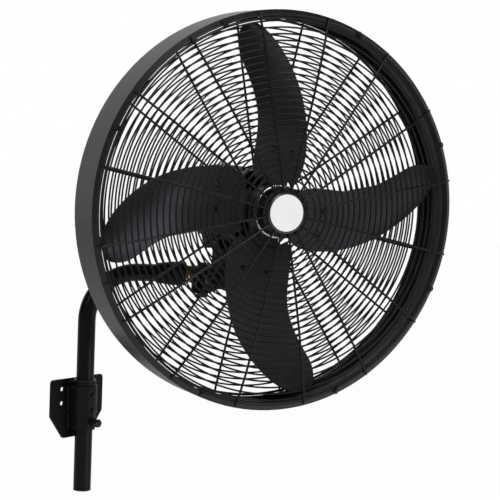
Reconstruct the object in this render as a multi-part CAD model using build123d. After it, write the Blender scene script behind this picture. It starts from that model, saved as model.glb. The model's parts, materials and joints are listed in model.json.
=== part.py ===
"""Wall mounted drum fan on a bent pipe arm.

Millimetres, +Z up. The wall is the plane y = 0 and the fan stands in front of it, towards -Y.
The origin is the centre of the four wall bolt holes, on the back face of the wall plate.
The arm is modelled in its own frame (pipe axis at x = y = 0, arm pointing to -Y) and so is the
head (fan axis along Y, y counted backwards from the front rim); both are placed at the end.
"""
import os
from math import atan, cos, degrees, hypot, pi, radians, sin

from build123d import *

# ---------------------------------------------------------------- fits and clearances
weld_gap = 0.05          # between pieces that are welded or clamped together
seat_gap = 0.1           # under heads and flanges
moving_gap = 0.5         # between pieces that turn past each other
run_fit = 0.06           # radial clearance of a turning or sliding fit
press_fit = 0.03         # radial clearance of a fixed fit

# ---------------------------------------------------------------- wall plate
plate_width = 152.0
plate_height = 130.0
plate_thick = 4.0
plate_drop = 27.5        # the plate's centre lies this far below the centre of the wall bolts
plate_corner_r = 8.0
plate_chamfer_width = 37.0
plate_chamfer_height = 50.0
wall_hole_spacing_x = 87.0
wall_hole_spacing_z = 31.0
wall_hole_r = 5.0

# ---------------------------------------------------------------- pipe and sleeve
pipe_r = 19.05           # 38.1 mm tube
pipe_wall = 2.6
bush_wall = 1.5
bush_flange_r = 23.5
bush_flange_thick = 2.5
sleeve_wall = 3.6
sleeve_top = 34.0
sleeve_bottom = -72.0
sleeve_cheek = 4.0       # flat cheeks that carry the tube off the plate

# ---------------------------------------------------------------- saddle strap and its bolts
strap_thick = 2.5
strap_height = 60.0
strap_mid_z = -6.0
strap_bolt_mid_z = -12.5
strap_bolt_rise = 17.0
m6_r = 3.0
m6_flats = 10.0
m6_head = 4.0

# ---------------------------------------------------------------- hanger bolts
m8_r = 4.0
m8_flats = 13.0
m8_head = 5.3

# ---------------------------------------------------------------- lock bolt
lock_z = -54.0
lock_r = 5.0
lock_boss_flats = 17.0
lock_boss_height = 8.0
lock_head_flats = 16.0
lock_head = 10.0
lock_neck = 5.0          # bare shank between the boss and the head

# ---------------------------------------------------------------- arm
arm_swing = 45.0         # the arm stands this far off the wall's normal, towards +X
arm_z = 273.0
bend_r = 108.0
pipe_bottom = -204.0
plug_thick = 3.0
plug_length = 16.0
socket_reach_back = 145.0     # the next distances are counted along the arm from the pipe's axis
socket_flare_end = 179.0
pipe_end = 193.0
socket_end = 210.0
socket_r = 25.5
socket_lip = 2.0         # wall of the socket at its thin end
grub_r = 4.0
grub_along = 183.0
stud_r = 8.0
knuckle_washer_r = 20.5
knuckle_washer_thick = 3.0
knuckle_nut_flats = 36.0
knuckle_nut_thick = 10.5

# ---------------------------------------------------------------- knuckle yoke and swivel pin
yoke_back = 9.0
yoke_width = 46.0
yoke_ear = 14.0
yoke_ear_r = 20.0
pin_along = 247.0
tongue_height = 27.0
tongue_mid_z = 261.5
tongue_r = 13.4
link_bar_width = 24.0
pin_r = 7.0
pin_flats = 22.0
pin_head = 9.0
pin_nut = 10.5

# ---------------------------------------------------------------- head: axis, swivel and tilt
fan_z = 436.0
head_pan = -22.3         # the head faces this far off the wall's normal, towards -X
pin_depth = 349.0
tilt_depth = 260.0
tilt_drop = 165.0
cheek_gap = 30.6
cheek_thick = 8.7
cheek_r = 24.0
lug_r = 20.0
bridge_gap = 8.0         # from the hanger's lug to the bridge between the cheeks
bridge_thick = 12.0
tilt_bolt_r = 6.0
tilt_flats = 19.0
tilt_head = 7.5
tilt_nut = 10.0

# ---------------------------------------------------------------- drum
drum_r = 395.0
drum_depth = 91.5
drum_sheet = 1.6
rim_width = 12.6         # how far the front rim and the rear flange stand inwards
rim_rise = 6.7           # how far the front rim rises forwards
hem_r = 2.4              # rolled edge of the rim and of the flange

# ---------------------------------------------------------------- grilles
spokes = 16
spoke_phase = 9.8
spoke_wire_r = 2.3
ring_wire_r = 1.8
edge_wire_r = 2.8
ring_sides = 12
ring_clear = 1.0         # least gap between the last ring and the outermost one
edge_ring_inset = 3.5    # from the rim's inner edge to the guards' outermost ring
front_ring_first = 66.4
front_ring_pitch = 12.78
front_spoke_start = 43.6
front_spoke_inset = 3.5  # from the spokes' ends to the drum's outside
front_rise = 25.5        # how far the middle of the front grille stands in front of the drum
front_edge_rise = 11.5
rear_ring_first = 86.8
rear_ring_pitch = 13.1
rear_spoke_start = 60.0
rear_spoke_inset = 6.0
screw_r = 2.5
screw_head_r = 5.0
screw_head = 2.6
screw_inset = 7.6        # from the grille screws to the drum's outside
grille_screws = 8
screw_clear = 0.3        # between a rear screw's shank and the spoke beside it
clip_width = 11.0
clip_thick = 1.5
clip_jaw = 4.0           # length of the jaw that holds the guard's outermost ring
clip_outer = 5.5         # from the screw to the clip's outer end
rim_seat = 0.5           # from the rim's sloping face to the clips and spokes, which rest on its rolled edge

# ---------------------------------------------------------------- middle of the front grille
badge_r = 37.0
badge_thick = 2.0
badge_rim_r = 42.0
badge_rim_height = 4.8
centre_plate_r = 50.0
centre_plate_thick = 2.0
plate_seat = 0.3         # between the spokes and the centre plate
badge_screw_bite = 2.0

# ---------------------------------------------------------------- blades, hub and shaft
blades = 4
blade_phase = 78.0
blade_thick = 2.2
blade_depth = 48.0       # depth of the blades' root plane on the arm's centreline
blade_slope = 0.22       # rise of that plane across the blade
tip_slope = 0.06         # further rise across the blade at the tip
tip_sweep_back = 12.0
camber = 7.0
camber_from = 160.0
camber_full = 260.0
blade_root_r = 72.0
blade_tip_gap = 25.0     # from the blades' tips to the drum's outside
# share of the blade's span, then the leading and the trailing edge as arc lengths from the arm's centreline
blade_stations = [
    (0.0, -46.0, 54.0),
    (0.077, -60.0, 66.0),
    (0.178, -64.0, 71.0),
    (0.295, -57.0, 74.0),
    (0.43, -41.0, 84.0),
    (0.564, -18.0, 104.0),
    (0.698, 14.0, 131.0),
    (0.815, 50.0, 157.0),
    (0.906, 84.0, 170.0),
    (0.966, 113.0, 172.0),
    (1.0, 134.0, 165.0),
]
chord_points = 7
blade_seat = 0.3         # between a blade and its arm
arm_plate_thick = 4.0
arm_plate_width = 66.0
arm_plate_end = 140.0
rivet_radius = 121.0
rivet_offset = 24.6
rivet_r = 3.0
rivet_head_r = 6.5
rivet_head = 2.4
hub_r = 54.0
hub_front = 8.0
hub_rim = 5.0
hub_web_front = 34.0
hub_web_back = 46.0
boss_r = 24.0
boss_back = 76.0
shaft_r = 10.0
shaft_front = 0.0
shaft_end_gap = 1.0      # from the shaft's end to the rear cover
shaft_nut_flats = 24.0
shaft_nut_thick = 9.0

# ---------------------------------------------------------------- motor
motor_r = 78.0
motor_inner_r = 72.0
fin_height = 2.0
fin_thick = 2.5
fins = 24
fin_margin = 12.0        # from the fins' ends to the housing's ends
front_shield_thick = 13.0
rear_shield_thick = 15.0
housing_length = 176.0
bearing_r = 23.5
bearing_width = 14.0
shield_boss_r = 30.0
shield_boss = 6.0
shield_screw_r = 2.0
core_r = 44.5
air_gap = 0.5
core_length = 75.0
core_start = 150.0
coil_reach = 22.0
end_ring_reach = 8.0
foot_width = 68.0
foot_length = 80.0
foot_inset = 3.0         # from the foot to the housing's back end
foot_drop = 84.0
pad_thick = 8.0
neck_width = 30.0
neck_top_length = 54.0
centre_disc_r = 78.0
centre_disc_hole_r = 34.0
centre_disc_thick = 2.5

# ---------------------------------------------------------------- junction box on the motor
box_x = 81.0
box_depth = 38.0
box_start = 150.0
box_length = 100.0
box_height = 70.0
box_wall = 2.5
lid_thick = 3.0
capacitor_r = 15.0
capacitor_length = 62.0
terminal_length = 56.0
terminal_width = 12.0
terminal_height = 16.0
terminals = 4
gland_r = 10.0
gland_length = 16.0
gland_bore_r = 4.5

# ---------------------------------------------------------------- worked out from the sizes above
bush_in_r = pipe_r + run_fit
bush_out_r = bush_in_r + bush_wall
sleeve_in_r = bush_out_r + run_fit
sleeve_out_r = sleeve_in_r + sleeve_wall
pipe_y = -(plate_thick + weld_gap + sleeve_out_r)
plate_front = -plate_thick
pipe_in_r = pipe_r - pipe_wall
yoke_start = socket_end + knuckle_washer_thick + knuckle_nut_thick + 3 * weld_gap
ring_behind_spoke = spoke_wire_r + ring_wire_r + weld_gap
rear_flange_back = drum_depth + hem_r - drum_sheet
rear_spoke_y = rear_flange_back + weld_gap + spoke_wire_r
centre_disc_front = rear_spoke_y + spoke_wire_r + weld_gap
shield_front = centre_disc_front + centre_disc_thick + weld_gap
housing_front = shield_front + front_shield_thick + weld_gap
housing_back = housing_front + housing_length
rear_shield_start = housing_back + weld_gap
foot_start = housing_back - foot_inset - foot_length
bearing_pocket = rear_shield_thick - 6
shaft_back = rear_shield_start + bearing_pocket - shaft_end_gap
stator_out_r = motor_inner_r - weld_gap
blade_tilt = degrees(atan(blade_slope))
rim_slope = rim_rise / (rim_width - hem_r)
rim_angle = degrees(atan(rim_slope))
m6_hole_r = m6_r + weld_gap
m8_hole_r = m8_r + weld_gap
strap_in_r = sleeve_out_r + weld_gap
strap_out_r = strap_in_r + strap_thick
screw_radius = drum_r - screw_inset
edge_ring_r = drum_r - rim_width - edge_ring_inset
front_spoke_end = drum_r - front_spoke_inset
rear_spoke_end = drum_r - rear_spoke_inset
blade_tip_r = drum_r - blade_tip_gap
screw_turn = degrees((spoke_wire_r + screw_r + screw_clear) / screw_radius)


# ---------------------------------------------------------------- simple shapes
def rod_y(radius, start, end):
    """A round bar along Y from y = start to y = end."""
    return Pos(0, (start + end) / 2, 0) * Rot(90, 0, 0) * Cylinder(radius, abs(end - start))


def rod_z(radius, start, end):
    return Pos(0, 0, (start + end) / 2) * Cylinder(radius, abs(end - start))


def rod_x(radius, start, end):
    return Pos((start + end) / 2, 0, 0) * Rot(0, 90, 0) * Cylinder(radius, abs(end - start))


def ring_y(outer, inner, start, end):
    return rod_y(outer, start, end) - rod_y(inner, start - 1, end + 1)


def hex_z(flats, start, end):
    """A hexagon bar along Z, with its size across the flats."""
    prism = extrude(RegularPolygon(flats / 2, 6, major_radius=False), end - start)
    return Pos(0, 0, start) * prism


def hex_y(flats, start, end):
    return Pos(0, end, 0) * Rot(90, 0, 0) * hex_z(flats, 0, end - start)


def hex_x(flats, start, end):
    return Pos(start, 0, 0) * Rot(0, 90, 0) * hex_z(flats, 0, end - start)


def block(x0, x1, y0, y1, z0, z1):
    """A box between two corners."""
    return Pos((x0 + x1) / 2, (y0 + y1) / 2, (z0 + z1) / 2) * Box(x1 - x0, y1 - y0, z1 - z0)


def about_y(angle):
    """Turn anticlockwise about the fan's axis, as seen from the front."""
    return Rot(0, -angle, 0)


def group(solids):
    return Compound(children=list(solids))


def smooth_step(value, start, full):
    part = min(max((value - start) / (full - start), 0.0), 1.0)
    return part * part * (3 - 2 * part)


# ---------------------------------------------------------------- wall bracket
def wall_hole_places():
    for side in (-1, 1):
        for row in (-1, 1):
            yield side * wall_hole_spacing_x / 2, row * wall_hole_spacing_z / 2


def strap_bolt_heights():
    return [strap_bolt_mid_z + row * strap_bolt_rise for row in (-1, 1)]


def make_wall_plate():
    """Flat steel plate with rounded top corners and cut-off bottom corners."""
    half = plate_width / 2
    top = plate_height / 2 - plate_drop
    bottom = top - plate_height
    outline = Polygon(
        (-half, top),
        (half, top),
        (half, bottom + plate_chamfer_height),
        (half - plate_chamfer_width, bottom),
        (plate_chamfer_width - half, bottom),
        (-half, bottom + plate_chamfer_height),
        align=None,
    )
    outline = fillet(outline.vertices(), plate_corner_r)
    for x, z in wall_hole_places():
        outline -= Pos(x, z) * Circle(wall_hole_r)
    return Rot(90, 0, 0) * extrude(outline, plate_thick, dir=(0, 0, 1))


def make_pipe_sleeve():
    """Thick tube on two flat cheeks that are welded to the plate; the lock bolt's boss is part of it."""
    boss_start = sleeve_out_r - sleeve_wall / 2
    boss_end = sleeve_out_r + lock_boss_height
    wall_y = plate_front - weld_gap - pipe_y
    sleeve = rod_z(sleeve_out_r, sleeve_bottom, sleeve_top)
    for side in (-1, 1):
        edges = sorted((side * sleeve_out_r, side * (sleeve_out_r - sleeve_cheek)))
        sleeve += block(*edges, 0, wall_y, sleeve_bottom, sleeve_top)
    sleeve += Pos(0, 0, lock_z) * hex_y(lock_boss_flats, -boss_end, -boss_start)
    sleeve -= rod_z(sleeve_in_r, sleeve_bottom - 1, sleeve_top + 1)
    sleeve -= Pos(0, 0, lock_z) * rod_y(lock_r + run_fit, -boss_end - 1, 0)
    for z in strap_bolt_heights():
        sleeve -= Pos(0, 0, z) * rod_y(m6_hole_r, -sleeve_out_r - 1, 0)
    return Pos(0, pipe_y, 0) * sleeve


def make_saddle_strap():
    """U-shaped band round the sleeve, welded to the plate by its two ends."""
    wall_y = plate_front - weld_gap - pipe_y
    profile = Circle(strap_out_r) - Pos(0, strap_out_r / 2) * Rectangle(2 * strap_out_r, strap_out_r)
    profile += Pos(0, wall_y / 2) * Rectangle(2 * strap_out_r, wall_y)
    profile -= Circle(strap_in_r)
    profile -= Pos(0, wall_y / 2 + 1) * Rectangle(2 * strap_in_r, wall_y + 2)
    strap = Pos(0, pipe_y, strap_mid_z - strap_height / 2) * extrude(profile, strap_height)
    for z in strap_bolt_heights():
        strap -= Pos(0, pipe_y, z) * rod_y(m6_hole_r, -strap_out_r - 1, 0)
    return strap


def make_strap_bolts():
    """Two hexagon bolts through the band, tapped into the sleeve's wall."""
    under_head = -(strap_out_r + seat_gap)
    bolts = []
    for z in strap_bolt_heights():
        bolt = hex_y(m6_flats, under_head - m6_head, under_head)
        bolt += rod_y(m6_r, under_head - 1, -(sleeve_in_r + seat_gap))
        bolts.append(Pos(0, pipe_y, z) * bolt)
    return group(bolts)


def make_lock_bolt():
    """Bolt that bears on the bush through the sleeve's boss."""
    tip = -(sleeve_in_r + seat_gap)
    neck_end = -(sleeve_out_r + lock_boss_height + lock_neck)
    bolt = rod_y(lock_r, neck_end - 1, tip)
    bolt += hex_y(lock_head_flats, neck_end - lock_head, neck_end)
    return Pos(0, pipe_y, lock_z) * bolt


def make_sleeve_bush():
    """Nylon bush that lines the sleeve and turns with the pipe."""
    flange_start = sleeve_top + seat_gap
    flange_end = flange_start + bush_flange_thick
    bush = rod_z(bush_out_r, sleeve_bottom + 2, flange_end)
    bush += rod_z(bush_flange_r, flange_start, flange_end)
    bush -= rod_z(bush_in_r, sleeve_bottom, flange_end + 1)
    return bush


# ---------------------------------------------------------------- arm
def make_arm_pipe():
    """Steel tube: an upright, one bend and the level arm."""
    upright = Line((0, 0, pipe_bottom), (0, 0, arm_z - bend_r))
    bend_mid = (0, -bend_r * (1 - cos(pi / 4)), arm_z - bend_r * (1 - sin(pi / 4)))
    bend = ThreePointArc((0, 0, arm_z - bend_r), bend_mid, (0, -bend_r, arm_z))
    level = Line((0, -bend_r, arm_z), (0, -pipe_end, arm_z))
    path = Wire([upright, bend, level])
    start = Plane(origin=(0, 0, pipe_bottom), z_dir=(0, 0, 1))
    outside = sweep(start * Circle(pipe_r), path=path)
    inside = sweep(start * Circle(pipe_in_r), path=path)
    return outside - inside


def make_pipe_end_plug():
    """Plastic plug in the pipe's lower end."""
    face = pipe_bottom - weld_gap
    plug = rod_z(pipe_r, face - plug_thick, face)
    plug += rod_z(pipe_in_r - press_fit, face - 1, face + plug_length)
    plug -= rod_z(pipe_in_r - 3, face, face + plug_length + 1)
    return plug


def make_arm_socket():
    """Cast socket on the end of the arm, flared towards the knuckle."""
    bore = pipe_r + press_fit
    thin = bore + socket_lip
    profile = Polygon(
        (socket_reach_back, bore),
        (pipe_end + seat_gap, bore),
        (pipe_end + seat_gap, stud_r + press_fit),
        (socket_end, stud_r + press_fit),
        (socket_end, socket_r),
        (socket_flare_end, socket_r),
        (socket_reach_back, thin),
        align=None,
    )
    half = Rot(0, 0, -90) * profile
    socket = revolve(half, Axis.Y)
    for side in (-1, 1):
        hole = Pos(0, -grub_along, 0) * Rot(0, side * 45, 0) * rod_z(grub_r + weld_gap, -socket_r - 1, -pipe_r)
        socket -= hole
    return Pos(0, 0, arm_z) * socket


def make_socket_screws():
    """Two grub screws that hold the socket on the pipe."""
    screws = []
    for side in (-1, 1):
        screw = rod_z(grub_r, -socket_r + 1, -pipe_r - seat_gap)
        screw -= Pos(0, 0, -socket_r) * hex_z(grub_r, 0, 4)
        screws.append(Pos(0, -grub_along, arm_z) * Rot(0, side * 45, 0) * screw)
    return group(screws)


def make_knuckle_stud():
    """Zinc plated stud that joins the socket, the nut and the yoke."""
    return Pos(0, 0, arm_z) * rod_y(stud_r, -(yoke_start + yoke_back), -(pipe_end + 2))


def make_knuckle_washer():
    start = socket_end + weld_gap
    return Pos(0, 0, arm_z) * ring_y(knuckle_washer_r, stud_r + press_fit, -(start + knuckle_washer_thick), -start)


def make_knuckle_nut():
    """Zinc plated nut that locks the yoke against the socket."""
    start = socket_end + knuckle_washer_thick + 2 * weld_gap
    nut = hex_y(knuckle_nut_flats, -(start + knuckle_nut_thick), -start)
    nut -= rod_y(stud_r + press_fit, -(start + knuckle_nut_thick + 1), -start + 1)
    return Pos(0, 0, arm_z) * nut


def ear_shape():
    """Outline of one yoke ear from above, with its round end at the swivel pin."""
    ear = Pos(0, -pin_along) * Circle(yoke_ear_r)
    length = pin_along - yoke_start
    ear += Pos(0, -yoke_start - length / 2) * Rectangle(2 * yoke_ear_r, length)
    return ear


def make_knuckle_yoke():
    """Cast yoke: a back wall and two ears above and below the link's tongue."""
    half_slot = tongue_height / 2 + moving_gap
    top = tongue_mid_z + half_slot + yoke_ear
    bottom = tongue_mid_z - half_slot - yoke_ear
    yoke = block(-yoke_width / 2, yoke_width / 2, -(yoke_start + yoke_back), -yoke_start, bottom, top)
    yoke = fillet(yoke.edges().filter_by(Axis.Y), 6.0)
    for ear_bottom in (bottom, tongue_mid_z + half_slot):
        yoke += Pos(0, 0, ear_bottom) * extrude(ear_shape(), yoke_ear)
    yoke -= Pos(0, -pin_along, 0) * rod_z(pin_r + press_fit, bottom - 1, top + 1)
    yoke -= Pos(0, 0, arm_z) * rod_y(stud_r + press_fit, -(yoke_start + yoke_back + 1), -yoke_start + 1)
    return yoke


def make_swivel_pin():
    """Bolt that the head swivels on."""
    half = tongue_height / 2 + moving_gap + yoke_ear
    top = tongue_mid_z + half + seat_gap
    bottom = tongue_mid_z - half - seat_gap
    pin = rod_z(pin_r, bottom - pin_nut, top + 1)
    pin += hex_z(pin_flats, top, top + pin_head)
    return Pos(0, -pin_along, 0) * pin


def make_swivel_nut():
    bottom = tongue_mid_z - tongue_height / 2 - moving_gap - yoke_ear - seat_gap
    nut = hex_z(pin_flats, bottom - pin_nut, bottom)
    nut -= rod_z(pin_r + press_fit, bottom - pin_nut - 1, bottom + 1)
    return Pos(0, -pin_along, 0) * nut


# ---------------------------------------------------------------- swivel link
def make_swivel_link():
    """Cast link: a tongue in the yoke, a bar, and two cheeks that hold the tilt bolt."""
    tongue_z = tongue_mid_z - fan_z
    low = tongue_z - tongue_height / 2
    high = tongue_z + tongue_height / 2
    bridge_front = tilt_depth + lug_r + bridge_gap
    bridge_back = bridge_front + bridge_thick
    half_outer = cheek_gap / 2 + cheek_thick
    link = Pos(0, pin_depth, 0) * rod_z(tongue_r, low, high)
    link += block(-link_bar_width / 2, link_bar_width / 2, bridge_back - 1, pin_depth, low, high)
    link += block(-half_outer, half_outer, bridge_front, bridge_back, low, high)
    for side in (-1, 1):
        inner = side * cheek_gap / 2
        outer = side * half_outer
        cheek = Pos(0, tilt_depth, -tilt_drop) * rod_x(cheek_r, min(inner, outer), max(inner, outer))
        cheek += block(min(inner, outer), max(inner, outer), tilt_depth, bridge_back, low, high)
        link += cheek
    link -= Pos(0, pin_depth, 0) * rod_z(pin_r + run_fit, low - 1, high + 1)
    link -= Pos(0, tilt_depth, -tilt_drop) * rod_x(tilt_bolt_r + press_fit, -half_outer - 1, half_outer + 1)
    return link


def make_tilt_bolt():
    """Bolt that the head tilts on."""
    side = cheek_gap / 2 + cheek_thick + seat_gap
    bolt = rod_x(tilt_bolt_r, -side - 1, side + tilt_nut)
    bolt += hex_x(tilt_flats, -side - tilt_head, -side)
    return Pos(0, tilt_depth, -tilt_drop) * bolt


def make_tilt_nut():
    side = cheek_gap / 2 + cheek_thick + seat_gap
    nut = hex_x(tilt_flats, side, side + tilt_nut)
    nut -= rod_x(tilt_bolt_r + press_fit, side - 1, side + tilt_nut + 1)
    return Pos(0, tilt_depth, -tilt_drop) * nut


# ---------------------------------------------------------------- motor hanger
def hanger_bolt_places():
    for side in (-1, 1):
        for end in (-1, 1):
            yield side * 0.35 * foot_width, foot_start + foot_length / 2 + end * 0.37 * foot_length


def make_motor_hanger():
    """Cast hanger: a lug on the tilt bolt, a neck and a pad under the motor's foot."""
    pad_top = -foot_drop - weld_gap
    pad_bottom = pad_top - pad_thick
    half_neck = neck_width / 2
    mid = foot_start + foot_length / 2
    neck = Polygon(
        (tilt_depth - lug_r, -tilt_drop),
        (tilt_depth + lug_r, -tilt_drop),
        (mid + neck_top_length / 2, pad_bottom),
        (mid - neck_top_length / 2, pad_bottom),
        align=None,
    )
    hanger = Pos(-half_neck, 0, 0) * extrude(Plane.YZ * neck, neck_width)
    hanger += Pos(0, tilt_depth, -tilt_drop) * rod_x(lug_r, -half_neck, half_neck)
    pad = block(-foot_width / 2, foot_width / 2, foot_start, foot_start + foot_length, pad_bottom, pad_top)
    hanger += fillet(pad.edges().filter_by(Axis.Z), 8.0)
    hanger -= Pos(0, tilt_depth, -tilt_drop) * rod_x(tilt_bolt_r + run_fit, -half_neck - 1, half_neck + 1)
    for x, y in hanger_bolt_places():
        hanger -= Pos(x, y, 0) * rod_z(m8_hole_r, pad_bottom - 1, pad_top + 1)
    return hanger


def make_hanger_bolts():
    under_head = -foot_drop - weld_gap - pad_thick - seat_gap
    bolts = []
    for x, y in hanger_bolt_places():
        bolt = hex_z(m8_flats, under_head - m8_head, under_head)
        bolt += rod_z(m8_r, under_head - 1, -foot_drop + 6)
        bolts.append(Pos(x, y, 0) * bolt)
    return group(bolts)


# ---------------------------------------------------------------- motor
def make_motor_housing():
    """Cast body with cooling fins, a foot below and a seat for the junction box."""
    housing = rod_y(motor_r, housing_front, housing_back)
    fin_mid = (housing_front + housing_back) / 2
    fin_length = housing_length - 2 * fin_margin
    for index in range(fins):
        fin = block(motor_r - 2, motor_r + fin_height, fin_mid - fin_length / 2, fin_mid + fin_length / 2,
                    -fin_thick / 2, fin_thick / 2)
        housing += about_y(index * 360 / fins) * fin
    half_foot = foot_width / 2
    housing += block(-half_foot, half_foot, foot_start, foot_start + foot_length, -foot_drop, -motor_r + 12)
    housing += block(motor_r - 12, box_x, box_start, box_start + box_length, -box_height / 2, box_height / 2)
    housing -= rod_y(motor_inner_r, housing_front - 1, housing_back + 1)
    for x, y in hanger_bolt_places():
        housing -= Pos(x, y, 0) * rod_z(m8_hole_r, -foot_drop - 1, -foot_drop + 7)
    return housing


def shield_screw_turns():
    return [45 + index * 90 for index in range(4)]


def shield_screw_radius():
    return (motor_r + motor_inner_r) / 2


def drill_shield(shield, start, end):
    for turn in shield_screw_turns():
        hole = Pos(shield_screw_radius(), 0, 0) * rod_y(shield_screw_r + weld_gap, start - 1, end + 1)
        shield -= about_y(turn) * hole
    return shield


def make_front_shield():
    """Motor end cover that the fan end bearing sits in; the rear grille is screwed to it."""
    end = shield_front + front_shield_thick
    seat_start = shield_front + 3
    shield = rod_y(motor_r, shield_front, end)
    shield += rod_y(shield_boss_r, end - 1, end + shield_boss)
    shield -= rod_y(bearing_r + press_fit, seat_start, end + shield_boss + 1)
    shield -= rod_y(shaft_r + 4, shield_front - 1, end)
    for turn in disc_screw_turns():
        hole = Pos(disc_screw_radius(), 0, 0) * rod_y(screw_r + weld_gap, shield_front - 1, shield_front + 9)
        shield -= about_y(turn) * hole
    return drill_shield(shield, shield_front, end)


def make_rear_shield():
    """Motor end cover with the second bearing and a domed cap."""
    end = rear_shield_start + rear_shield_thick
    shield = rod_y(motor_r, rear_shield_start, end)
    shield = chamfer(shield.faces().sort_by(Axis.Y)[-1].edges(), 8.0)
    shield += rod_y(shield_boss_r, rear_shield_start - shield_boss, rear_shield_start + 1)
    pocket_end = rear_shield_start + bearing_pocket
    shield -= rod_y(bearing_r + press_fit, rear_shield_start - shield_boss - 1, pocket_end)
    return drill_shield(shield, rear_shield_start, rear_shield_start + 4)


def make_shield_screws():
    """Eight cheese head screws that hold both end covers on the housing."""
    screws = []
    front_under = shield_front + 8
    back_under = rear_shield_start + 4
    for turn in shield_screw_turns():
        front = rod_y(shield_screw_r, front_under, housing_front + 12)
        back = rod_y(shield_screw_r, housing_back - 12, back_under)
        for screw in (front, back):
            screws.append(about_y(turn) * Pos(shield_screw_radius(), 0, 0) * screw)
    return group(screws)


def drill_housing(housing):
    for turn in shield_screw_turns():
        for start, end in ((housing_front - 1, housing_front + 13), (housing_back - 13, housing_back + 1)):
            hole = Pos(shield_screw_radius(), 0, 0) * rod_y(shield_screw_r + weld_gap, start, end)
            housing -= about_y(turn) * hole
    return housing


def bearing(start):
    return ring_y(bearing_r, shaft_r + run_fit, start, start + bearing_width)


def make_stator_core():
    return ring_y(stator_out_r, core_r + air_gap, core_start, core_start + core_length)


def make_stator_coils():
    """The winding heads at both ends of the stator."""
    coils = []
    inner = core_r + air_gap + 3
    outer = stator_out_r - 4
    for start in (core_start - weld_gap - coil_reach, core_start + core_length + weld_gap):
        coil = ring_y(outer, inner, start, start + coil_reach)
        coils.append(fillet(coil.edges().filter_by(GeomType.CIRCLE), 3.0))
    return group(coils)


def make_junction_box():
    """Box for the capacitor and terminals, open to the side that the lid closes."""
    half = box_height / 2
    start = box_x + weld_gap
    end = start + box_depth
    box = block(start, end, box_start, box_start + box_length, -half, half)
    box -= block(start + box_wall, end + 1, box_start + box_wall, box_start + box_length - box_wall,
                 box_wall - half, half - box_wall)
    for y, z in box_corner_places():
        box += Pos(0, y, z) * rod_x(4.0, start + box_wall - 1, end)
        box -= Pos(0, y, z) * rod_x(1.6, end - 12, end + 1)
    gland_y = box_start + box_length / 2
    box -= Pos(start + box_depth / 2, gland_y, 0) * rod_z(gland_r * 0.6 + weld_gap, -half - 1, -half + box_wall + 1)
    return box


def box_corner_places():
    half = box_height / 2 - box_wall - 2.5
    for end in (-1, 1):
        for side in (-1, 1):
            y = box_start + box_length / 2 + end * (box_length / 2 - box_wall - 2.5)
            yield y, side * half


def make_junction_lid():
    half = box_height / 2
    start = box_x + box_depth + 2 * weld_gap
    lid = block(start, start + lid_thick, box_start, box_start + box_length, -half, half)
    lid = fillet(lid.edges().filter_by(Axis.X), 4.0)
    for y, z in box_corner_places():
        lid -= Pos(0, y, z) * rod_x(1.6, start - 1, start + lid_thick + 1)
    return lid


def make_lid_screws():
    under_head = box_x + box_depth + 2 * weld_gap + lid_thick + weld_gap
    screws = []
    for y, z in box_corner_places():
        screw = rod_x(3.0, under_head, under_head + 2)
        screw += rod_x(1.5, under_head - 12, under_head + 1)
        screws.append(Pos(0, y, z) * screw)
    return group(screws)


def make_run_capacitor():
    """Motor run capacitor, a plastic can that lies in the box."""
    x = box_x + box_wall + capacitor_r + 0.2
    mid = box_start + box_length / 2
    can = rod_y(capacitor_r, mid - capacitor_length / 2, mid + capacitor_length / 2)
    return Pos(x, 0, box_height / 2 - box_wall - capacitor_r - 0.2) * can


def make_terminal_block():
    """Screw terminals on the box's floor, under the capacitor."""
    x = box_x + box_wall + 0.2
    y = box_start + box_length / 2
    bottom = -box_height / 2 + box_wall + 7
    strip = block(x, x + terminal_width, y - terminal_length / 2, y + terminal_length / 2,
                  bottom, bottom + terminal_height)
    pitch = terminal_length / terminals
    for index in range(terminals):
        place = Pos(0, y + (index - (terminals - 1) / 2) * pitch, bottom + terminal_height / 2)
        strip -= place * rod_x(screw_r, x + terminal_width / 2, x + terminal_width + 1)
    return strip


def make_cable_gland():
    """Cable inlet under the junction box."""
    x = box_x + weld_gap + box_depth / 2
    y = box_start + box_length / 2
    top = -box_height / 2
    gland = hex_z(2 * gland_r, top - 6 - seat_gap, top - seat_gap)
    gland += rod_z(gland_r * 0.75, top - gland_length, top - 6)
    gland += rod_z(gland_r * 0.6, top - 6, top + box_wall + 3)
    gland -= rod_z(gland_bore_r, top - gland_length - 1, top + box_wall + 4)
    return Pos(x, y, 0) * gland


# ---------------------------------------------------------------- drum
def make_drum_shell():
    """Rolled sheet drum with a front rim that slopes forwards and a flat rear flange."""
    inner = drum_r - rim_width + hem_r
    shift_in = drum_sheet * sin(radians(rim_angle))
    shift_back = drum_sheet * cos(radians(rim_angle))
    wall_r = drum_r - drum_sheet
    crease = -rim_rise + shift_back + (wall_r - inner + shift_in) * rim_slope
    profile = Polygon(
        (inner, -rim_rise),
        (drum_r, 0),
        (drum_r, drum_depth),
        (inner, drum_depth),
        (inner, drum_depth - drum_sheet),
        (wall_r, drum_depth - drum_sheet),
        (wall_r, crease),
        (inner - shift_in, shift_back - rim_rise),
        align=None,
    )
    profile += Pos(inner, hem_r - rim_rise) * Circle(hem_r)
    profile += Pos(inner, drum_depth - drum_sheet) * Circle(hem_r)
    shell = revolve(profile, Axis.Y)
    for turn in front_screw_turns():
        shell -= about_y(turn) * front_screw_place() * rod_y(screw_r + weld_gap, -9, 9)
    for turn in rear_screw_turns():
        shell -= about_y(turn) * Pos(screw_radius, 0, 0) * rod_y(screw_r + weld_gap, drum_depth - 8, drum_depth + 9)
    return shell


def front_screw_turns():
    """Midway between two spokes."""
    return [spoke_phase + 180 / spokes + index * 360 / grille_screws for index in range(grille_screws)]


def rear_screw_turns():
    """Close beside every second spoke."""
    return [spoke_phase + screw_turn + index * 360 / grille_screws for index in range(grille_screws)]


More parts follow.
